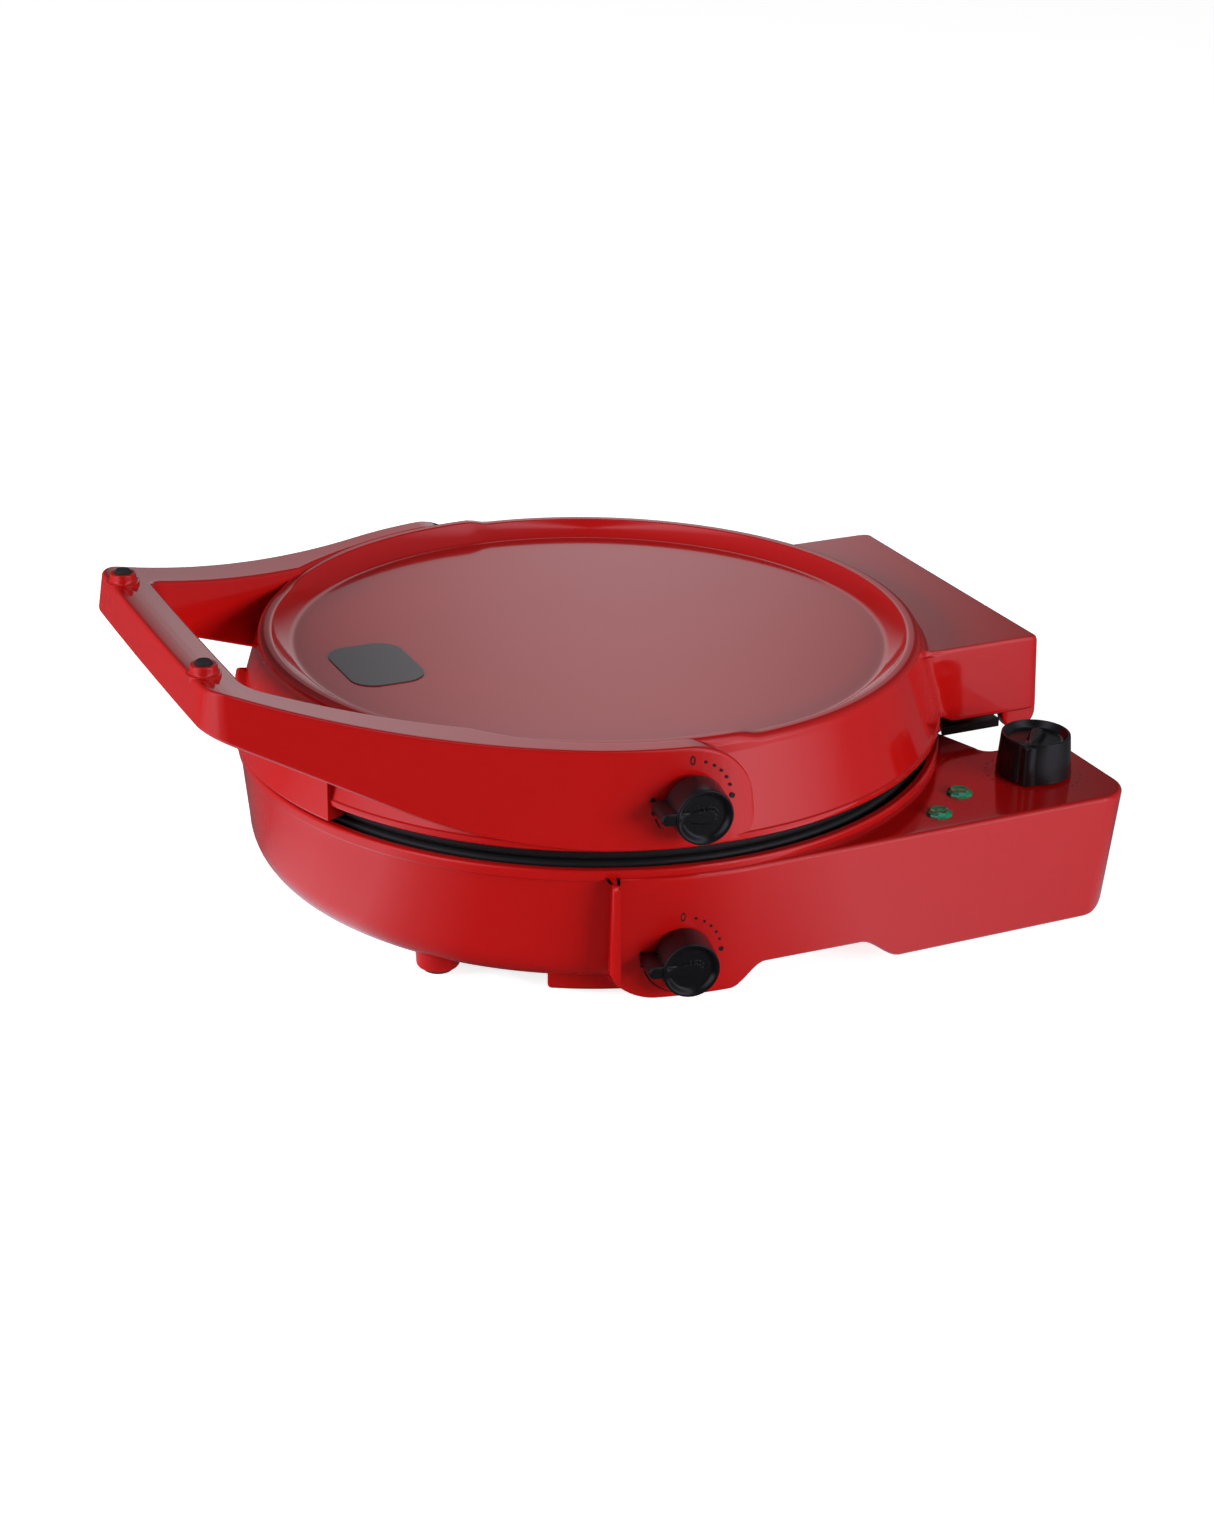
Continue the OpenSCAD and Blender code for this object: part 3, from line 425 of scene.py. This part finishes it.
def plate(name, side, body, replaced):
    """Side is 1 for the upper plate and -1 for the lower one. The face, the moulds' tubes with their small
    lips, the rim's round edges with a groove, the skirt and the back are all circles round an axis."""
    mouth = ring_r + tube_r + lip
    tube = np.vstack([[[mouth, 0]], bend((mouth, lip), lip, -90, -180, 18)[1:],
                      bend((ring_r, 0), tube_r, 6.5, 173.5, 6)[1:-1],
                      bend((ring_r - tube_r - lip, lip), lip, 0, -90, 18), [[0.0, 0]]])
    hump = np.vstack([[[ring_r + tube_r + mould_wall, 4]],
                      bend((ring_r, 0), tube_r + mould_wall, 14, 166, 6),
                      [[ring_r - tube_r - mould_wall, 4], [0.0, 4]]])
    rim = np.vstack([[[plate_r - 12, 0], [plate_r - 10, 0], [plate_r - 9.5, 0.8], [plate_r - 8, 1.9],
                      [plate_r - 6.5, 0.8], [plate_r - 6, 0]],
                     bend((plate_r - 2.4, 2.4), 2.4, -90, 0, 10), [[plate_r, 6.6]],
                     bend((plate_r - 2, skirt_h - 2), 2, 0, 90, 15),
                     [[plate_r - 3, skirt_h], [plate_r - 3, 4], [plate_r - 8, 4]]])
    parts = [holed_disc([plate_r - 12] + [mouth] * 7, moulds, 0.0),
             holed_disc([plate_r - 8] + [ring_r + tube_r + mould_wall] * 7, moulds, 4.0),
             turned(rim, 240, closed=False)]
    parts += [turned(tube, 96, centre, False) for centre in moulds]
    parts += [turned(hump, 96, centre, False) for centre in moulds]
    face = part_z + side * 0.3
    placed_parts = [(p * np.array([1, 1, side]) + np.array([0, 0, face]), c, n) for p, c, n in parts]
    return make(name, placed_parts, body, plate_coating, replaced)


plate("lower_plate_casting", -1, "base", ["lower_plate"])

# ---- Heating ----
# A round steel-clad heating rod lies against the back of each plate over a reflector of aluminised sheet,
# which hangs on steel posts.
heater_steel = finish_of("heater_steel", (0.22, 0.20, 0.18), 0.4, (900, 0.15), (0.3, 0.5), Metallic=1.0)
sheet_steel = finish_of("sheet_steel", (0.68, 0.68, 0.70), 0.15, (500, 0.06), (0.2, 0.35), Metallic=1.0)
dress(heater_steel, "lower_element", "upper_element")
dress(sheet_steel, "lower_reflector", "upper_reflector")
dress(zinc_steel, "upper_posts")
dress(ceramic_white, "upper_thermostat")

# ---- Thermostat dials ----
# Each black dial is moulded plastic on a brass spindle. It is a leaning cup with a dished face, and a
# finger on its side points at the scale, with a drop-shaped grip across the face.
brass = finish_of("brass", (0.62, 0.44, 0.16), 0.2, (800, 0.08), (0.2, 0.35), Metallic=1.0)
dress(brass, "lower_spindle", "upper_spindle", "timer_spindle")
dial_r, dial_h, dial_gap = 13.6, 15.5, 0.4
lower_dial_angle, lower_dial_z = 10.4, 29
upper_dial_angle, upper_dial_z = 9, seam + 21.5
pod_top = seam + 45.8


def knob(radius, lean, height, reach_out, tip, dish, grip):
    """A knob on Z 0 that points to -Y: a leaning side, a rim and a dished face, whose depth is less over a
    drop-shaped grip along the pointer, and a finger as high as the side."""
    side = np.vstack([[[radius - 4, 0.4], [radius - 0.6, 0.4], [radius, 1]],
                      np.stack([radius - lean * np.linspace(0.1, 0.93, 5),
                                0.4 + height * np.linspace(0.1, 0.93, 5)], 1),
                      bend((radius - lean - 0.7, height - 0.3), 0.7, 0, 90, 18)])
    a = np.linspace(0, 2 * np.pi, 96, endpoint=False)[:, None]
    inner = radius - lean - 1.1
    r = inner * (1 - np.linspace(0, 1, 22) ** 0.9)
    x, y = r * np.cos(a), r * np.sin(a)
    bowl = dish * (1 - smoothly(r, inner - 2.6, inner + 0.2)) + 0 * a
    along = np.clip(y, -radius, grip[1])
    wide = grip[0] * (0.55 + 0.45 * smoothly(y, -0.8 * radius, 0.1 * radius))
    ridge = 1 - smoothly(np.hypot(x, y - along) - wide, -0.7, 0.5)
    z = height + 0.4 - bowl * (1 - 0.85 * ridge)
    face = np.stack([x, y, z], -1)
    cup = np.stack([side[:, 0] * np.cos(a), side[:, 0] * np.sin(a), side[:, 1] + 0 * a], -1)
    finger = np.vstack([bend((0, tip - reach_out), tip, 180, 360, 12), [[tip, 0.4 - radius / 2],
                                                                         [-tip, 0.4 - radius / 2]]])
    fin = block(spaced(finger, 4), 0.4, height - 0.4, 0.4, 1.2, 0.04)
    return [grid(np.concatenate([cup, face], 1), True), fin]


def on_panel(part, angle, radius, z):
    """Stands a part on the drum: its Z points outwards, its Y along the drum and its X down."""
    x, y, out = part[0].T
    c, s = math.cos(math.radians(-angle)), math.sin(math.radians(-angle))
    across = radius + out
    return np.column_stack([across * c - y * s, across * s + y * c, z - x]), part[1], part[2]


dial_parts = knob(dial_r, lean=0.6, height=dial_h, reach_out=19.2, tip=3.0, dish=2.4, grip=(3.6, 2.2))
for level, angle, panel_r, dial_z in (("lower", lower_dial_angle, flank, lower_dial_z),
                                      ("upper", upper_dial_angle, drum_r, upper_dial_z)):
    standing_parts = [on_panel(part, angle, panel_r + dial_gap, dial_z) for part in dial_parts]
    make(level + "_thermostat_dial", standing_parts, level + "_dial", black_plastic,
         [level + "_dial"])
marks_r = 18.3                          # radius of the scales round the dials
print_ink = finish_of("print_ink", (0.01, 0.01, 0.012), 0.1, (3000, 0.02), (0.35, 0.5))


def lower_panel(z):
    """Radius of the wing's side at a height."""
    return flank + wing_draft * (deck - z)


def upper_panel(z):
    """Radius of the dial's housing on the lid at a height."""
    return drum_r - 4 + 0.11 * (pod_top - z)


def patch(u, w, dome, panel, angle, z):
    """A print on a panel from its across and upward positions, standing 0.12 mm proud where dome is 1."""
    height = z + w
    r = panel(height) - 0.1 + 0.22 * dome
    turn = -math.radians(angle) + u / r
    return grid(np.stack([r * np.cos(turn), r * np.sin(turn), height], -1))


def dot(clock, size, panel, angle, z):
    """A round mark at a clock angle in degrees round a dial."""
    a = np.linspace(0, 2 * np.pi, 25)[:, None]
    r = size * np.array([1, 0.93, 0.5, 0])
    c = math.radians(clock)
    return patch(marks_r * math.sin(c) + r * np.cos(a), marks_r * math.cos(c) + r * np.sin(a),
                 np.array([0, 1, 1, 1]) + 0 * a, panel, angle, z)


def band(start, end, width, panel, angle, z, radius, stretch=(1, 1), middle=(0, 0)):
    """A curved line round a dial between two clock angles, which grows to its width along its run."""
    c = np.radians(np.linspace(start, end, 60))[:, None]
    wide = (width[0] + (width[1] - width[0]) * np.linspace(0, 1, 60)[:, None]) / 2
    r = radius + wide * np.array([-1, -0.8, 0.8, 1])
    return patch(middle[0] + stretch[0] * r * np.sin(c), middle[1] + stretch[1] * r * np.cos(c),
                 np.array([0, 1, 1, 0]) + 0 * c, panel, angle, z)


def scale_marks(name, panel, angle, z, body):
    """The printed scale round a dial: a nought, five dots, three big dots and a widening arc."""
    here = (panel, angle, z)
    marks = [band(0, 360, (0.62, 0.62), *here, radius=1.25, stretch=(0.75, 1.4), middle=(0, 18.6))]
    marks += [dot(clock, 0.72, *here) for clock in (19, 33, 46, 59, 72)]
    marks += [dot(clock, 1.25, *here) for clock in (88, 258, 277)]
    marks += [band(195, 250, (0.4, 1.0), *here, radius=marks_r)]
    return make(name, marks, body, print_ink)


scale_marks("lower_dial_scale", lower_panel, lower_dial_angle, lower_dial_z, "base")
scale_marks("upper_dial_scale", upper_panel, upper_dial_angle, upper_dial_z, "lid")

# ---- Timer and lamps ----
# The tall black timer knob stands on the deck behind two lamps with faceted green lenses, and its scale is
# printed on the deck.
timer_x, timer_y, timer_turn = 134, drum_r + 0.5, 0.82


def on_deck(part):
    """Turns a part by the timer's angle and stands it on the deck."""
    c, s = math.cos(timer_turn), math.sin(timer_turn)
    x, y, z = part[0].T
    placed = np.column_stack([c * x - s * y + timer_x, s * x + c * y + timer_y, z + deck + dial_gap])
    return placed, part[1], part[2]


timer_parts = knob(18, lean=1.6, height=20, reach_out=19.4, tip=3.6, dish=3.2, grip=(3.4, 4))
make("timer_dial", [on_deck(part) for part in timer_parts], "timer_knob", black_plastic,
     ["timer_knob"])


def deck_dot(x, y, size):
    """A round mark on the deck."""
    rings = [[size, deck - 0.03], [size * 0.93, deck + 0.06], [0.0, deck + 0.06]]
    return turned(rings, 24, (x, y), False)


timer_marks_r = 22.5
timer_clock = np.radians(np.arange(-150, 151, 12.5))
timer_marks = [deck_dot(timer_x + timer_marks_r * math.sin(a), timer_y - timer_marks_r * math.cos(a), 0.5)
               for a in timer_clock]
make("timer_scale", timer_marks, "base", print_ink)
green_lens = finish_of("green_lens", (0.004, 0.26, 0.12), 0.2, (1200, 0.02), (0.04, 0.08),
                       Coat_Weight=0.6, IOR=1.5, Specular_IOR_Level=0.6)
facets = [[0, deck - 1], [6.1, deck - 1], [6.3, deck + 0.5], [5.9, deck + 1.2], [4.4, deck + 2.2],
          [2.2, deck + 1.7], [0, deck + 2.3]]
for name, centre in (("front", (157.8, 106.3)), ("rear", (141.6, 127))):
    make(name + "_lamp_jewel", [turned(facets, 10, centre, False)], "base", green_lens,
         [name + "_lamp_lens"], 12)

# ---- Hinge ----
# A plated steel rod runs across the rear, held in the base's two arms by clips, and the lid's housing
# turns on it.
dress(zinc_steel, "hinge_rod", "hinge_clips")

# ---- Red lid ----
# The lid is one red moulding: a leaning side, a round rim, the shallow recess in its top and the housing
# behind it that swings on the hinge. Its wall is 3 mm, and two slots in the rear let the hinge arms pass.
box_x, box_top = 84, seam + 35
rim_top, rim_r, recess_r, recess_z = seam + 43.5, drum_r - 13, drum_r - 29.4, seam + 36.5
lid_edge = 3.4                          # height of the lip round the lid's lower edge
lip_out, box_lean = 0.8, 0.045


def lid_side(z):
    """Radius of the lid's outside at a height: a lip at the lower edge, then a straight lean."""
    h = z - seam
    lip_part = lip_out * (1 - smoothly(h, lid_edge, lid_edge + 0.5))
    return drum_r - lip_out + lip_part - 10.4 * np.clip((h - lid_edge) / 36.1, 0, 2)


slot_low, slot_high = 29.5, 52.5        # the slots' sides, from the middle line
slot_top = seam + 14
slot_edges = np.degrees(np.arctan2(rear, [slot_low, slot_high, -slot_low, -slot_high]))
fine = np.concatenate([np.arange(56, 70.5, 0.35), np.arange(109.65, 124.2, 0.35)])
coarse = np.arange(0, 360, 1.5)
coarse = coarse[~(((coarse > 55.5) & (coarse < 70.6)) | ((coarse > 109.5) & (coarse < 124.4)))]
turn = np.radians(np.sort(np.concatenate([fine, coarse, slot_edges])))[:, None]
c, s = np.cos(turn), np.sin(turn)
# distance of the housing's outline along each direction: its sides, its rear face and the corners between
side_run = (box_x + 0.6) / np.maximum(1e-3, np.abs(c))
rear_run = rear / np.maximum(1e-3, s)
housing = np.where(s > 0.3, -soft_max(-side_run, -rear_run, 7.0), 0)
standing = smoothly(housing - lid_side(box_top), 0, 12)          # 1 where the housing stands behind the lid
low_edge = seam - 3 * smoothly(housing - drum_r, 0, 8)
round_r, fillet_r = 2.5, 3.6
# the side, from the lower edge up to where the housing's top edge starts
up_the_side = np.array([0, 0.03, 0.06, 0.105, 0.12, 0.2, 0.35, 0.53, 0.65, 0.8, 0.9, 1])
side_z = low_edge + (box_top - round_r - low_edge) * up_the_side
lip_z = seam + np.array([1.0, lid_edge - 0.9, lid_edge, lid_edge + 0.5])
side_z[:, 1:5] = np.where(standing < 1e-6, lip_z, side_z[:, 1:5])
side_r = soft_max(lid_side(side_z), housing - box_lean * (side_z - low_edge), 4)
side_r[:, 0] -= lip_out
# the housing's top edge, its flat top and the fillet up to the drum; elsewhere these rows lie on the drum
a = np.radians(np.linspace(0, 90, 7))[1:]
edge_r, edge_z = -round_r * (1 - np.cos(a)), box_top - round_r * (1 - np.sin(a))
join_r = lid_side(box_top + fillet_r) + fillet_r
b = np.radians(np.linspace(-90, -180, 7))
fillet_x, fillet_z = join_r + fillet_r * np.cos(b), box_top + fillet_r + fillet_r * np.sin(b)
face_r = housing - box_lean * (box_top - low_edge)
flat = np.linspace(0, 1, 6)[1:-1]
top_r = np.hstack([face_r + edge_r, (face_r - round_r) * (1 - flat) + join_r * flat, fillet_x + 0 * turn])
top_z = np.hstack([edge_z, np.full(len(flat), box_top), fillet_z]) + 0 * turn
plain_z = np.linspace(box_top - round_r, box_top + fillet_r, top_r.shape[1] + 1)[1:]
top_r = top_r * standing + lid_side(plain_z) * (1 - standing)
top_z = top_z * standing + plain_z * (1 - standing)
# the rim, raised a little where the handle's arms run into it, and the recess
ahead = (np.degrees(turn) + 180) % 360 - 180
behind = (360 - np.degrees(turn)) % 360 - 180
arms = smoothly(ahead, -52, -42) * (1 - smoothly(ahead, 0, 4))
arms = np.maximum(arms, smoothly(behind, -52, -42) * (1 - smoothly(behind, 0, 4)))
crest = np.vstack([
    bend((rim_r - 2.2, rim_top - 4), 4, 0, 90, 12),
    bend((rim_r - 4.2, rim_top - 3.2), 3.2, 90, 120, 10),
    [[recess_r + 8.5, recess_z + 4.0], [recess_r + 4.2, recess_z + 1.5]],
    bend((recess_r, recess_z + 6), 6, -58, -90, 8),
    [[recess_r - 2, recess_z], [recess_r - 30, recess_z], [60, recess_z], [10, recess_z], [0.0, recess_z]]])
raised = np.clip((crest[:, 1] - recess_z) / (rim_top - recess_z), 0, 1)
crest_r, crest_z = crest[:, 0] + 0 * turn, crest[:, 1] + 2.1 * arms * raised
r, z = np.hstack([side_r, top_r, crest_r]), np.hstack([side_z, top_z, crest_z])
points, corners, counts = grid(np.stack([r * c, r * s, z], -1), True)
quads = corners.reshape(-1, 4)
middle = points[quads].mean(1)
open_slot = (np.abs(np.abs(middle[:, 0]) - (slot_low + slot_high) / 2) < (slot_high - slot_low) / 2)
open_slot &= (middle[:, 1] > rear - 6) & (middle[:, 2] < slot_top)
quads = quads[~open_slot]
lid_surface = (points, quads.ravel(), np.full(len(quads), 4))
lid = make("lid_moulding", [lid_surface], "lid", red_plastic, ["lid_shell"])
wall = lid.modifiers.new("wall", "SOLIDIFY")
wall.thickness = 0.003          # metres
wall.offset = -1
even_shading(lid)
ear_side = np.vstack([bend((hinge_y, hinge_z), 9.5, -180, 0, 10), [[hinge_y + 8, hinge_z + 22],
                                                                    [hinge_y - 9.5, hinge_z + 22]]])
ear = upright(block(spaced(ear_side, 6), box_x - 6, box_x - 0.4, 0.8, 0.8))
make("lid_hinge_ears", [ear, mirrored(ear)], "lid", red_plastic)
dress(black_plastic, "rear_cover", "lid_liner")
plate("upper_plate_casting", 1, "lid", ["upper_plate"])

# ---- Handle ----
# Two arms leave the lid's sides, sweep up to the front and meet in a crossbar. They are one red moulding,
# which also forms the housings beside the rim, and two towers on the crossbar carry the black feet.
arm_angle, arm_in, arm_w = 24, drum_r - 4, 21.5
handle_y, bar_w, bow = drum_r + 47.2, 22.5, 1.0
outer_corner, inner_corner, handle_draft = 17, 11, 0.11
sine, cosine = math.sin(math.radians(arm_angle)), math.cos(math.radians(arm_angle))


# round rear end of the housings, and how far in front of the axis it starts
pod_round, pod_back = 31, 27
sweep_r, sweep_start, sweep_most = 465, 60, 26.2
low_r, low_run, rise_angle = 207, 84.9, 24.2


def handle_top(y):
    """Height of the handle's top: level beside the rim, round at the rear and rising to the crossbar."""
    back = pod_top - pod_round + np.sqrt(np.maximum(0, pod_round ** 2 - np.maximum(y + pod_back, 0) ** 2))
    sweep = sweep_r - np.sqrt(sweep_r ** 2 - np.minimum(y + sweep_start, 0) ** 2)
    return back - soft_max(-sweep, np.full_like(y, -sweep_most), 2.5)


def handle_low(y):
    """Height of the handle's underside: level beside the lid, then an arc and a straight slope."""
    run = -np.minimum(y + sweep_start, 0)
    arc = low_r - np.sqrt(low_r ** 2 - np.minimum(run, low_run) ** 2)
    return seam + 0.2 + arc + np.maximum(run - low_run, 0) * math.tan(math.radians(rise_angle))


def arm_corner(distance, y, radius):
    """Centre of the round corner between an arm's side and the crossbar's side."""
    return ((distance - radius - (y - radius) * sine) / cosine, radius - y)


outer = np.vstack([bend((arm_in - 3, 1), 3, 90, 1, 15), bend((0, 0), arm_in, 0, -arm_angle, 1.5),
                   bend(arm_corner(arm_in, handle_y, outer_corner), outer_corner, -arm_angle, -90, 6)])
leaves = arm_angle + math.degrees(math.acos((arm_in - arm_w) / (rim_r - 3)))
inner = np.vstack([bend(arm_corner(arm_in - arm_w, handle_y - bar_w, inner_corner), inner_corner, -90,
                        -arm_angle, 8),
                   bend((0, 0), rim_r - 3, -leaves, 1.4, 1.5)])


def both(half):
    """A line on the right side, carried on to its mirror image on the left."""
    return np.vstack([half, half[::-1] * np.array([-1, 1])])


handle_cuts = np.concatenate([np.arange(-216, -58, 4), np.arange(-26, 4, 1.5), [-214.5, -200]])
outline = spaced(np.vstack([both(outer), both(inner[::-1])[::-1]]), 6)
# the crossbar bows forward between its corners
outline[:, 1] -= bow * smoothly(-outline[:, 1], 185, 200) * np.maximum(0, 1 - (outline[:, 0] / 80) ** 2)
handle_body = block(outline, handle_low, handle_top, 2.0, 2.0, handle_draft, handle_cuts)
tower_x, tower_y, bar_top = 63.3, 10.4 - drum_r - 51, seam + 72.5
tower = np.vstack([[[0, bar_top - 8], [7.4, bar_top - 4]], bend((7.8, bar_top + 1.2), 1.6, -90, -180, 15),
                   bend((5.4, bar_top + 3.0), 0.7, 0, 90, 20), [[4.1, bar_top + 3.7], [4.1, bar_top + 1.4],
                                                              [0, bar_top + 1.4]]])
towers = [turned(tower, 64, (side * tower_x, tower_y), False) for side in (-1, 1)]
handle = make("handle_bar", [handle_body] + towers, "lid", red_plastic, ["handle"])
even_shading(handle)
dress(foot_rubber, "handle_feet")
dress(zinc_steel, "handle_screws")

# ---- Front block ----
# Between the arms a red block hangs over the plates' front edge, and a grey label plate without any
# print sits in the lid's recess.
skirt_x, skirt_r, skirt_drop, skirt_up = 67, drum_r + 3, 7, 20
half = math.degrees(math.asin(skirt_x / skirt_r))
skirt = spaced(np.vstack([bend((0, 0), skirt_r - 3.2, -90 - half, -90 + half, 1.5),
                          bend((0, 0), drum_r - 16, -90 + half, -90 - half, 1.5)]), 5)
points, corners, counts = block(skirt, seam - skirt_drop, seam + skirt_up, 2, 3, 0.08)
reach = np.hypot(*points[:, :2].T)
hidden = reach < drum_r - 9.5
within = np.where(points[:, 2] < seam + 1, drum_r - 2.7, lid_side(points[:, 2]) - 2)
points[hidden, :2] *= (within[hidden] / reach[hidden])[:, None]
front_block = make("front_block", [(points, corners, counts)], "lid", red_plastic,
                   ["front_skirt"])
even_shading(front_block)
label_grey = finish_of("label_grey", (0.045, 0.048, 0.055), 0.15, (1800, 0.03), (0.12, 0.2), Coat_Weight=0.3)
dress(label_grey, "label_plate")

# ---- Studio ----
# A pale sweep under soft light. A panel behind and a ramp of grey round the set, dark beside the camera, are
# seen by mirror rays and give the gloss its reflections. Two low keys that stay out of the gloss give light.
scene = bpy.context.scene
scene.view_settings.view_transform = "Standard"
dark_side = (0.91, -0.41, 0)            # direction in which the set is dark
around = [(0, 0.05), (0.5, 0.18), (0.68, 0.75), (0.83, 1.0), (0.895, 0.4), (0.96, 0.05), (1, 0.03)]


def round_the_set(tree, source):
    """Grey by direction round the set, from straight away from the dark side (0) to the dark side (1)."""
    node, put = tree.nodes.new, tree.links.new
    level, unit, along = [node("ShaderNodeVectorMath") for _ in range(3)]
    level.operation, unit.operation, along.operation = "MULTIPLY", "NORMALIZE", "DOT_PRODUCT"
    level.inputs[1].default_value = (1, 1, 0)
    along.inputs[1].default_value = dark_side
    share, ramp = node("ShaderNodeMapRange"), node("ShaderNodeValToRGB")
    share.inputs["From Min"].default_value = -1
    put(source, level.inputs[0])
    put(level.outputs["Vector"], unit.inputs[0])
    put(unit.outputs["Vector"], along.inputs[0])
    put(along.outputs["Value"], share.inputs["Value"])
    put(share.outputs["Result"], ramp.inputs["Fac"])
    stops = ramp.color_ramp.elements
    while len(stops) < len(around):
        stops.new(0.5)
    for stop, (position, grey) in zip(stops, around):
        stop.position = position
        stop.color = (grey, 0.95 * grey, 1.1 * grey, 1)
    return ramp.outputs["Color"]


def by_ray(tree, seen, mirrored_light, lit, out):
    """Sends one shader to camera rays, one to mirror rays and one to all others."""
    path = tree.nodes.new("ShaderNodeLightPath")
    first, second = tree.nodes.new("ShaderNodeMixShader"), tree.nodes.new("ShaderNodeMixShader")
    tree.links.new(path.outputs["Is Glossy Ray"], first.inputs[0])
    tree.links.new(lit, first.inputs[1])
    tree.links.new(mirrored_light, first.inputs[2])
    tree.links.new(path.outputs["Is Camera Ray"], second.inputs[0])
    tree.links.new(first.outputs[0], second.inputs[1])
    tree.links.new(seen, second.inputs[2])
    tree.links.new(second.outputs[0], out)


def stage_sheet(name, corners):
    """A flat sheet that belongs to the studio."""
    sheet = bpy.data.meshes.new(name)
    sheet.from_pydata(corners, [], [(0, 1, 2, 3)])
    piece = bpy.data.objects.new(name, sheet)
    scene.collection.objects.link(piece)
    material = bpy.data.materials.new(name)
    material.use_nodes = True
    sheet.materials.append(material)
    return piece, material.node_tree


span = 8.0
floor_corners = [(-span, -span, 0), (span, -span, 0), (span, span, 0), (-span, span, 0)]
tree = stage_sheet("studio_floor", floor_corners)[1]
shader = tree.nodes["Principled BSDF"]
shader.inputs["Base Color"].default_value = (0.92, 0.92, 0.92, 1)
shader.inputs["Roughness"].default_value = 0.9
shader.inputs["Specular IOR Level"].default_value = 0.0
glow, lifted, mirrored_grey = [tree.nodes.new(kind) for kind in ("ShaderNodeEmission", "ShaderNodeAddShader",
                                                           "ShaderNodeEmission")]
glow.inputs["Strength"].default_value = 0.78
mirrored_grey.inputs["Strength"].default_value = 0.75
tree.links.new(shader.outputs[0], lifted.inputs[0])
tree.links.new(glow.outputs[0], lifted.inputs[1])
place = tree.nodes.new("ShaderNodeTexCoord")
tree.links.new(round_the_set(tree, place.outputs["Object"]), mirrored_grey.inputs["Color"])
by_ray(tree, lifted.outputs[0], mirrored_grey.outputs[0], shader.outputs[0],
       tree.nodes["Material Output"].inputs[0])

world = bpy.data.worlds.new("studio")
scene.world = world
world.use_nodes = True
tree = world.node_tree
seen = tree.nodes["Background"]
dim, mirrored_grey = [tree.nodes.new("ShaderNodeBackground") for _ in range(2)]
seen.inputs["Color"].default_value = dim.inputs["Color"].default_value = (1, 1, 1, 1)
seen.inputs["Strength"].default_value = 1.0
dim.inputs["Strength"].default_value = 0.15
mirrored_grey.inputs["Strength"].default_value = 1.1
place = tree.nodes.new("ShaderNodeTexCoord")
tree.links.new(round_the_set(tree, place.outputs["Generated"]), mirrored_grey.inputs["Color"])
by_ray(tree, seen.outputs[0], mirrored_grey.outputs[0], dim.outputs[0], tree.nodes["World Output"].inputs[0])

# the panel behind fades out to both sides, and only mirror rays see it
behind_dir = Vector((-0.83, 0.39, 0.39)).normalized()
panel, tree = stage_sheet("panel_behind", [(-1.2, -0.6, 0), (1.2, -0.6, 0), (1.2, 0.6, 0), (-1.2, 0.6, 0)])
facing = behind_dir.to_track_quat("Z", "Y").to_matrix().to_4x4()
panel.data.transform(Matrix.Translation(behind_dir * 2.1) @ facing)
panel.visible_camera = panel.visible_diffuse = panel.visible_shadow = False
shine = tree.nodes.new("ShaderNodeEmission")
across = tree.nodes.new("ShaderNodeVectorMath")
across.operation = "DOT_PRODUCT"
side_dir = Vector((0, 0, 1)).cross(behind_dir).normalized()
across.inputs[1].default_value = side_dir
shine.inputs["Color"].default_value = (1, 0.95, 1.0, 1)
shift, size = [tree.nodes.new("ShaderNodeMath") for _ in range(2)]
fade = tree.nodes.new("ShaderNodeMapRange")
shift.inputs[1].default_value = 0.03
size.operation = "ABSOLUTE"
fade.interpolation_type = "SMOOTHSTEP"
for socket, value in (("From Min", 0.0), ("From Max", 0.68), ("To Min", 0.68), ("To Max", 0.05)):
    fade.inputs[socket].default_value = value
for start, end in ((tree.nodes.new("ShaderNodeTexCoord").outputs["Object"], across.inputs[0]),
                   (across.outputs["Value"], shift.inputs[0]), (shift.outputs[0], size.inputs[0]),
                   (size.outputs[0], fade.inputs["Value"]),
                   (fade.outputs["Result"], shine.inputs["Strength"]),
                   (shine.outputs[0], tree.nodes["Material Output"].inputs[0])):
    tree.links.new(start, end)


def key(name, place, size, strength):
    """A soft panel that faces the object from a place, and lights it without showing in its gloss."""
    light = bpy.data.lights.new(name, "AREA")
    light.shape = "RECTANGLE"
    light.size, light.size_y = size
    light.energy = strength
    lamp = bpy.data.objects.new(name, light)
    scene.collection.objects.link(lamp)
    turn_to = (Vector((0, 0, 0.08)) - Vector(place)).to_track_quat("-Z", "Y").to_matrix().to_4x4()
    lamp.matrix_world = Matrix.Translation(place) @ turn_to
    lamp.visible_glossy = False


key("key_front_left", (-0.7, -2.3, 0.75), (1.4, 0.9), 66)
key("key_right", (2.3, 1.1, 0.7), (1.4, 0.9), 48)

# ---- Camera ----
# A long lens from the front right, a little above the lid, with a slight roll.
camera = bpy.data.cameras.new("camera")
camera.lens, camera.sensor_width, camera.sensor_fit = 66.3, 36, "AUTO"
camera.shift_x = 0.0054
stand, aim = Vector((1.14666, -0.5240, 0.6013)), Vector((-0.00874, 0.0147, 0.0489))
roll = math.radians(0.83)
view = bpy.data.objects.new("camera", camera)
scene.collection.objects.link(view)
level_turn = (aim - stand).to_track_quat("-Z", "Y").to_matrix().to_4x4()
view.matrix_world = Matrix.Translation(stand) @ level_turn @ Matrix.Rotation(roll, 4, "Z")
scene.camera = view
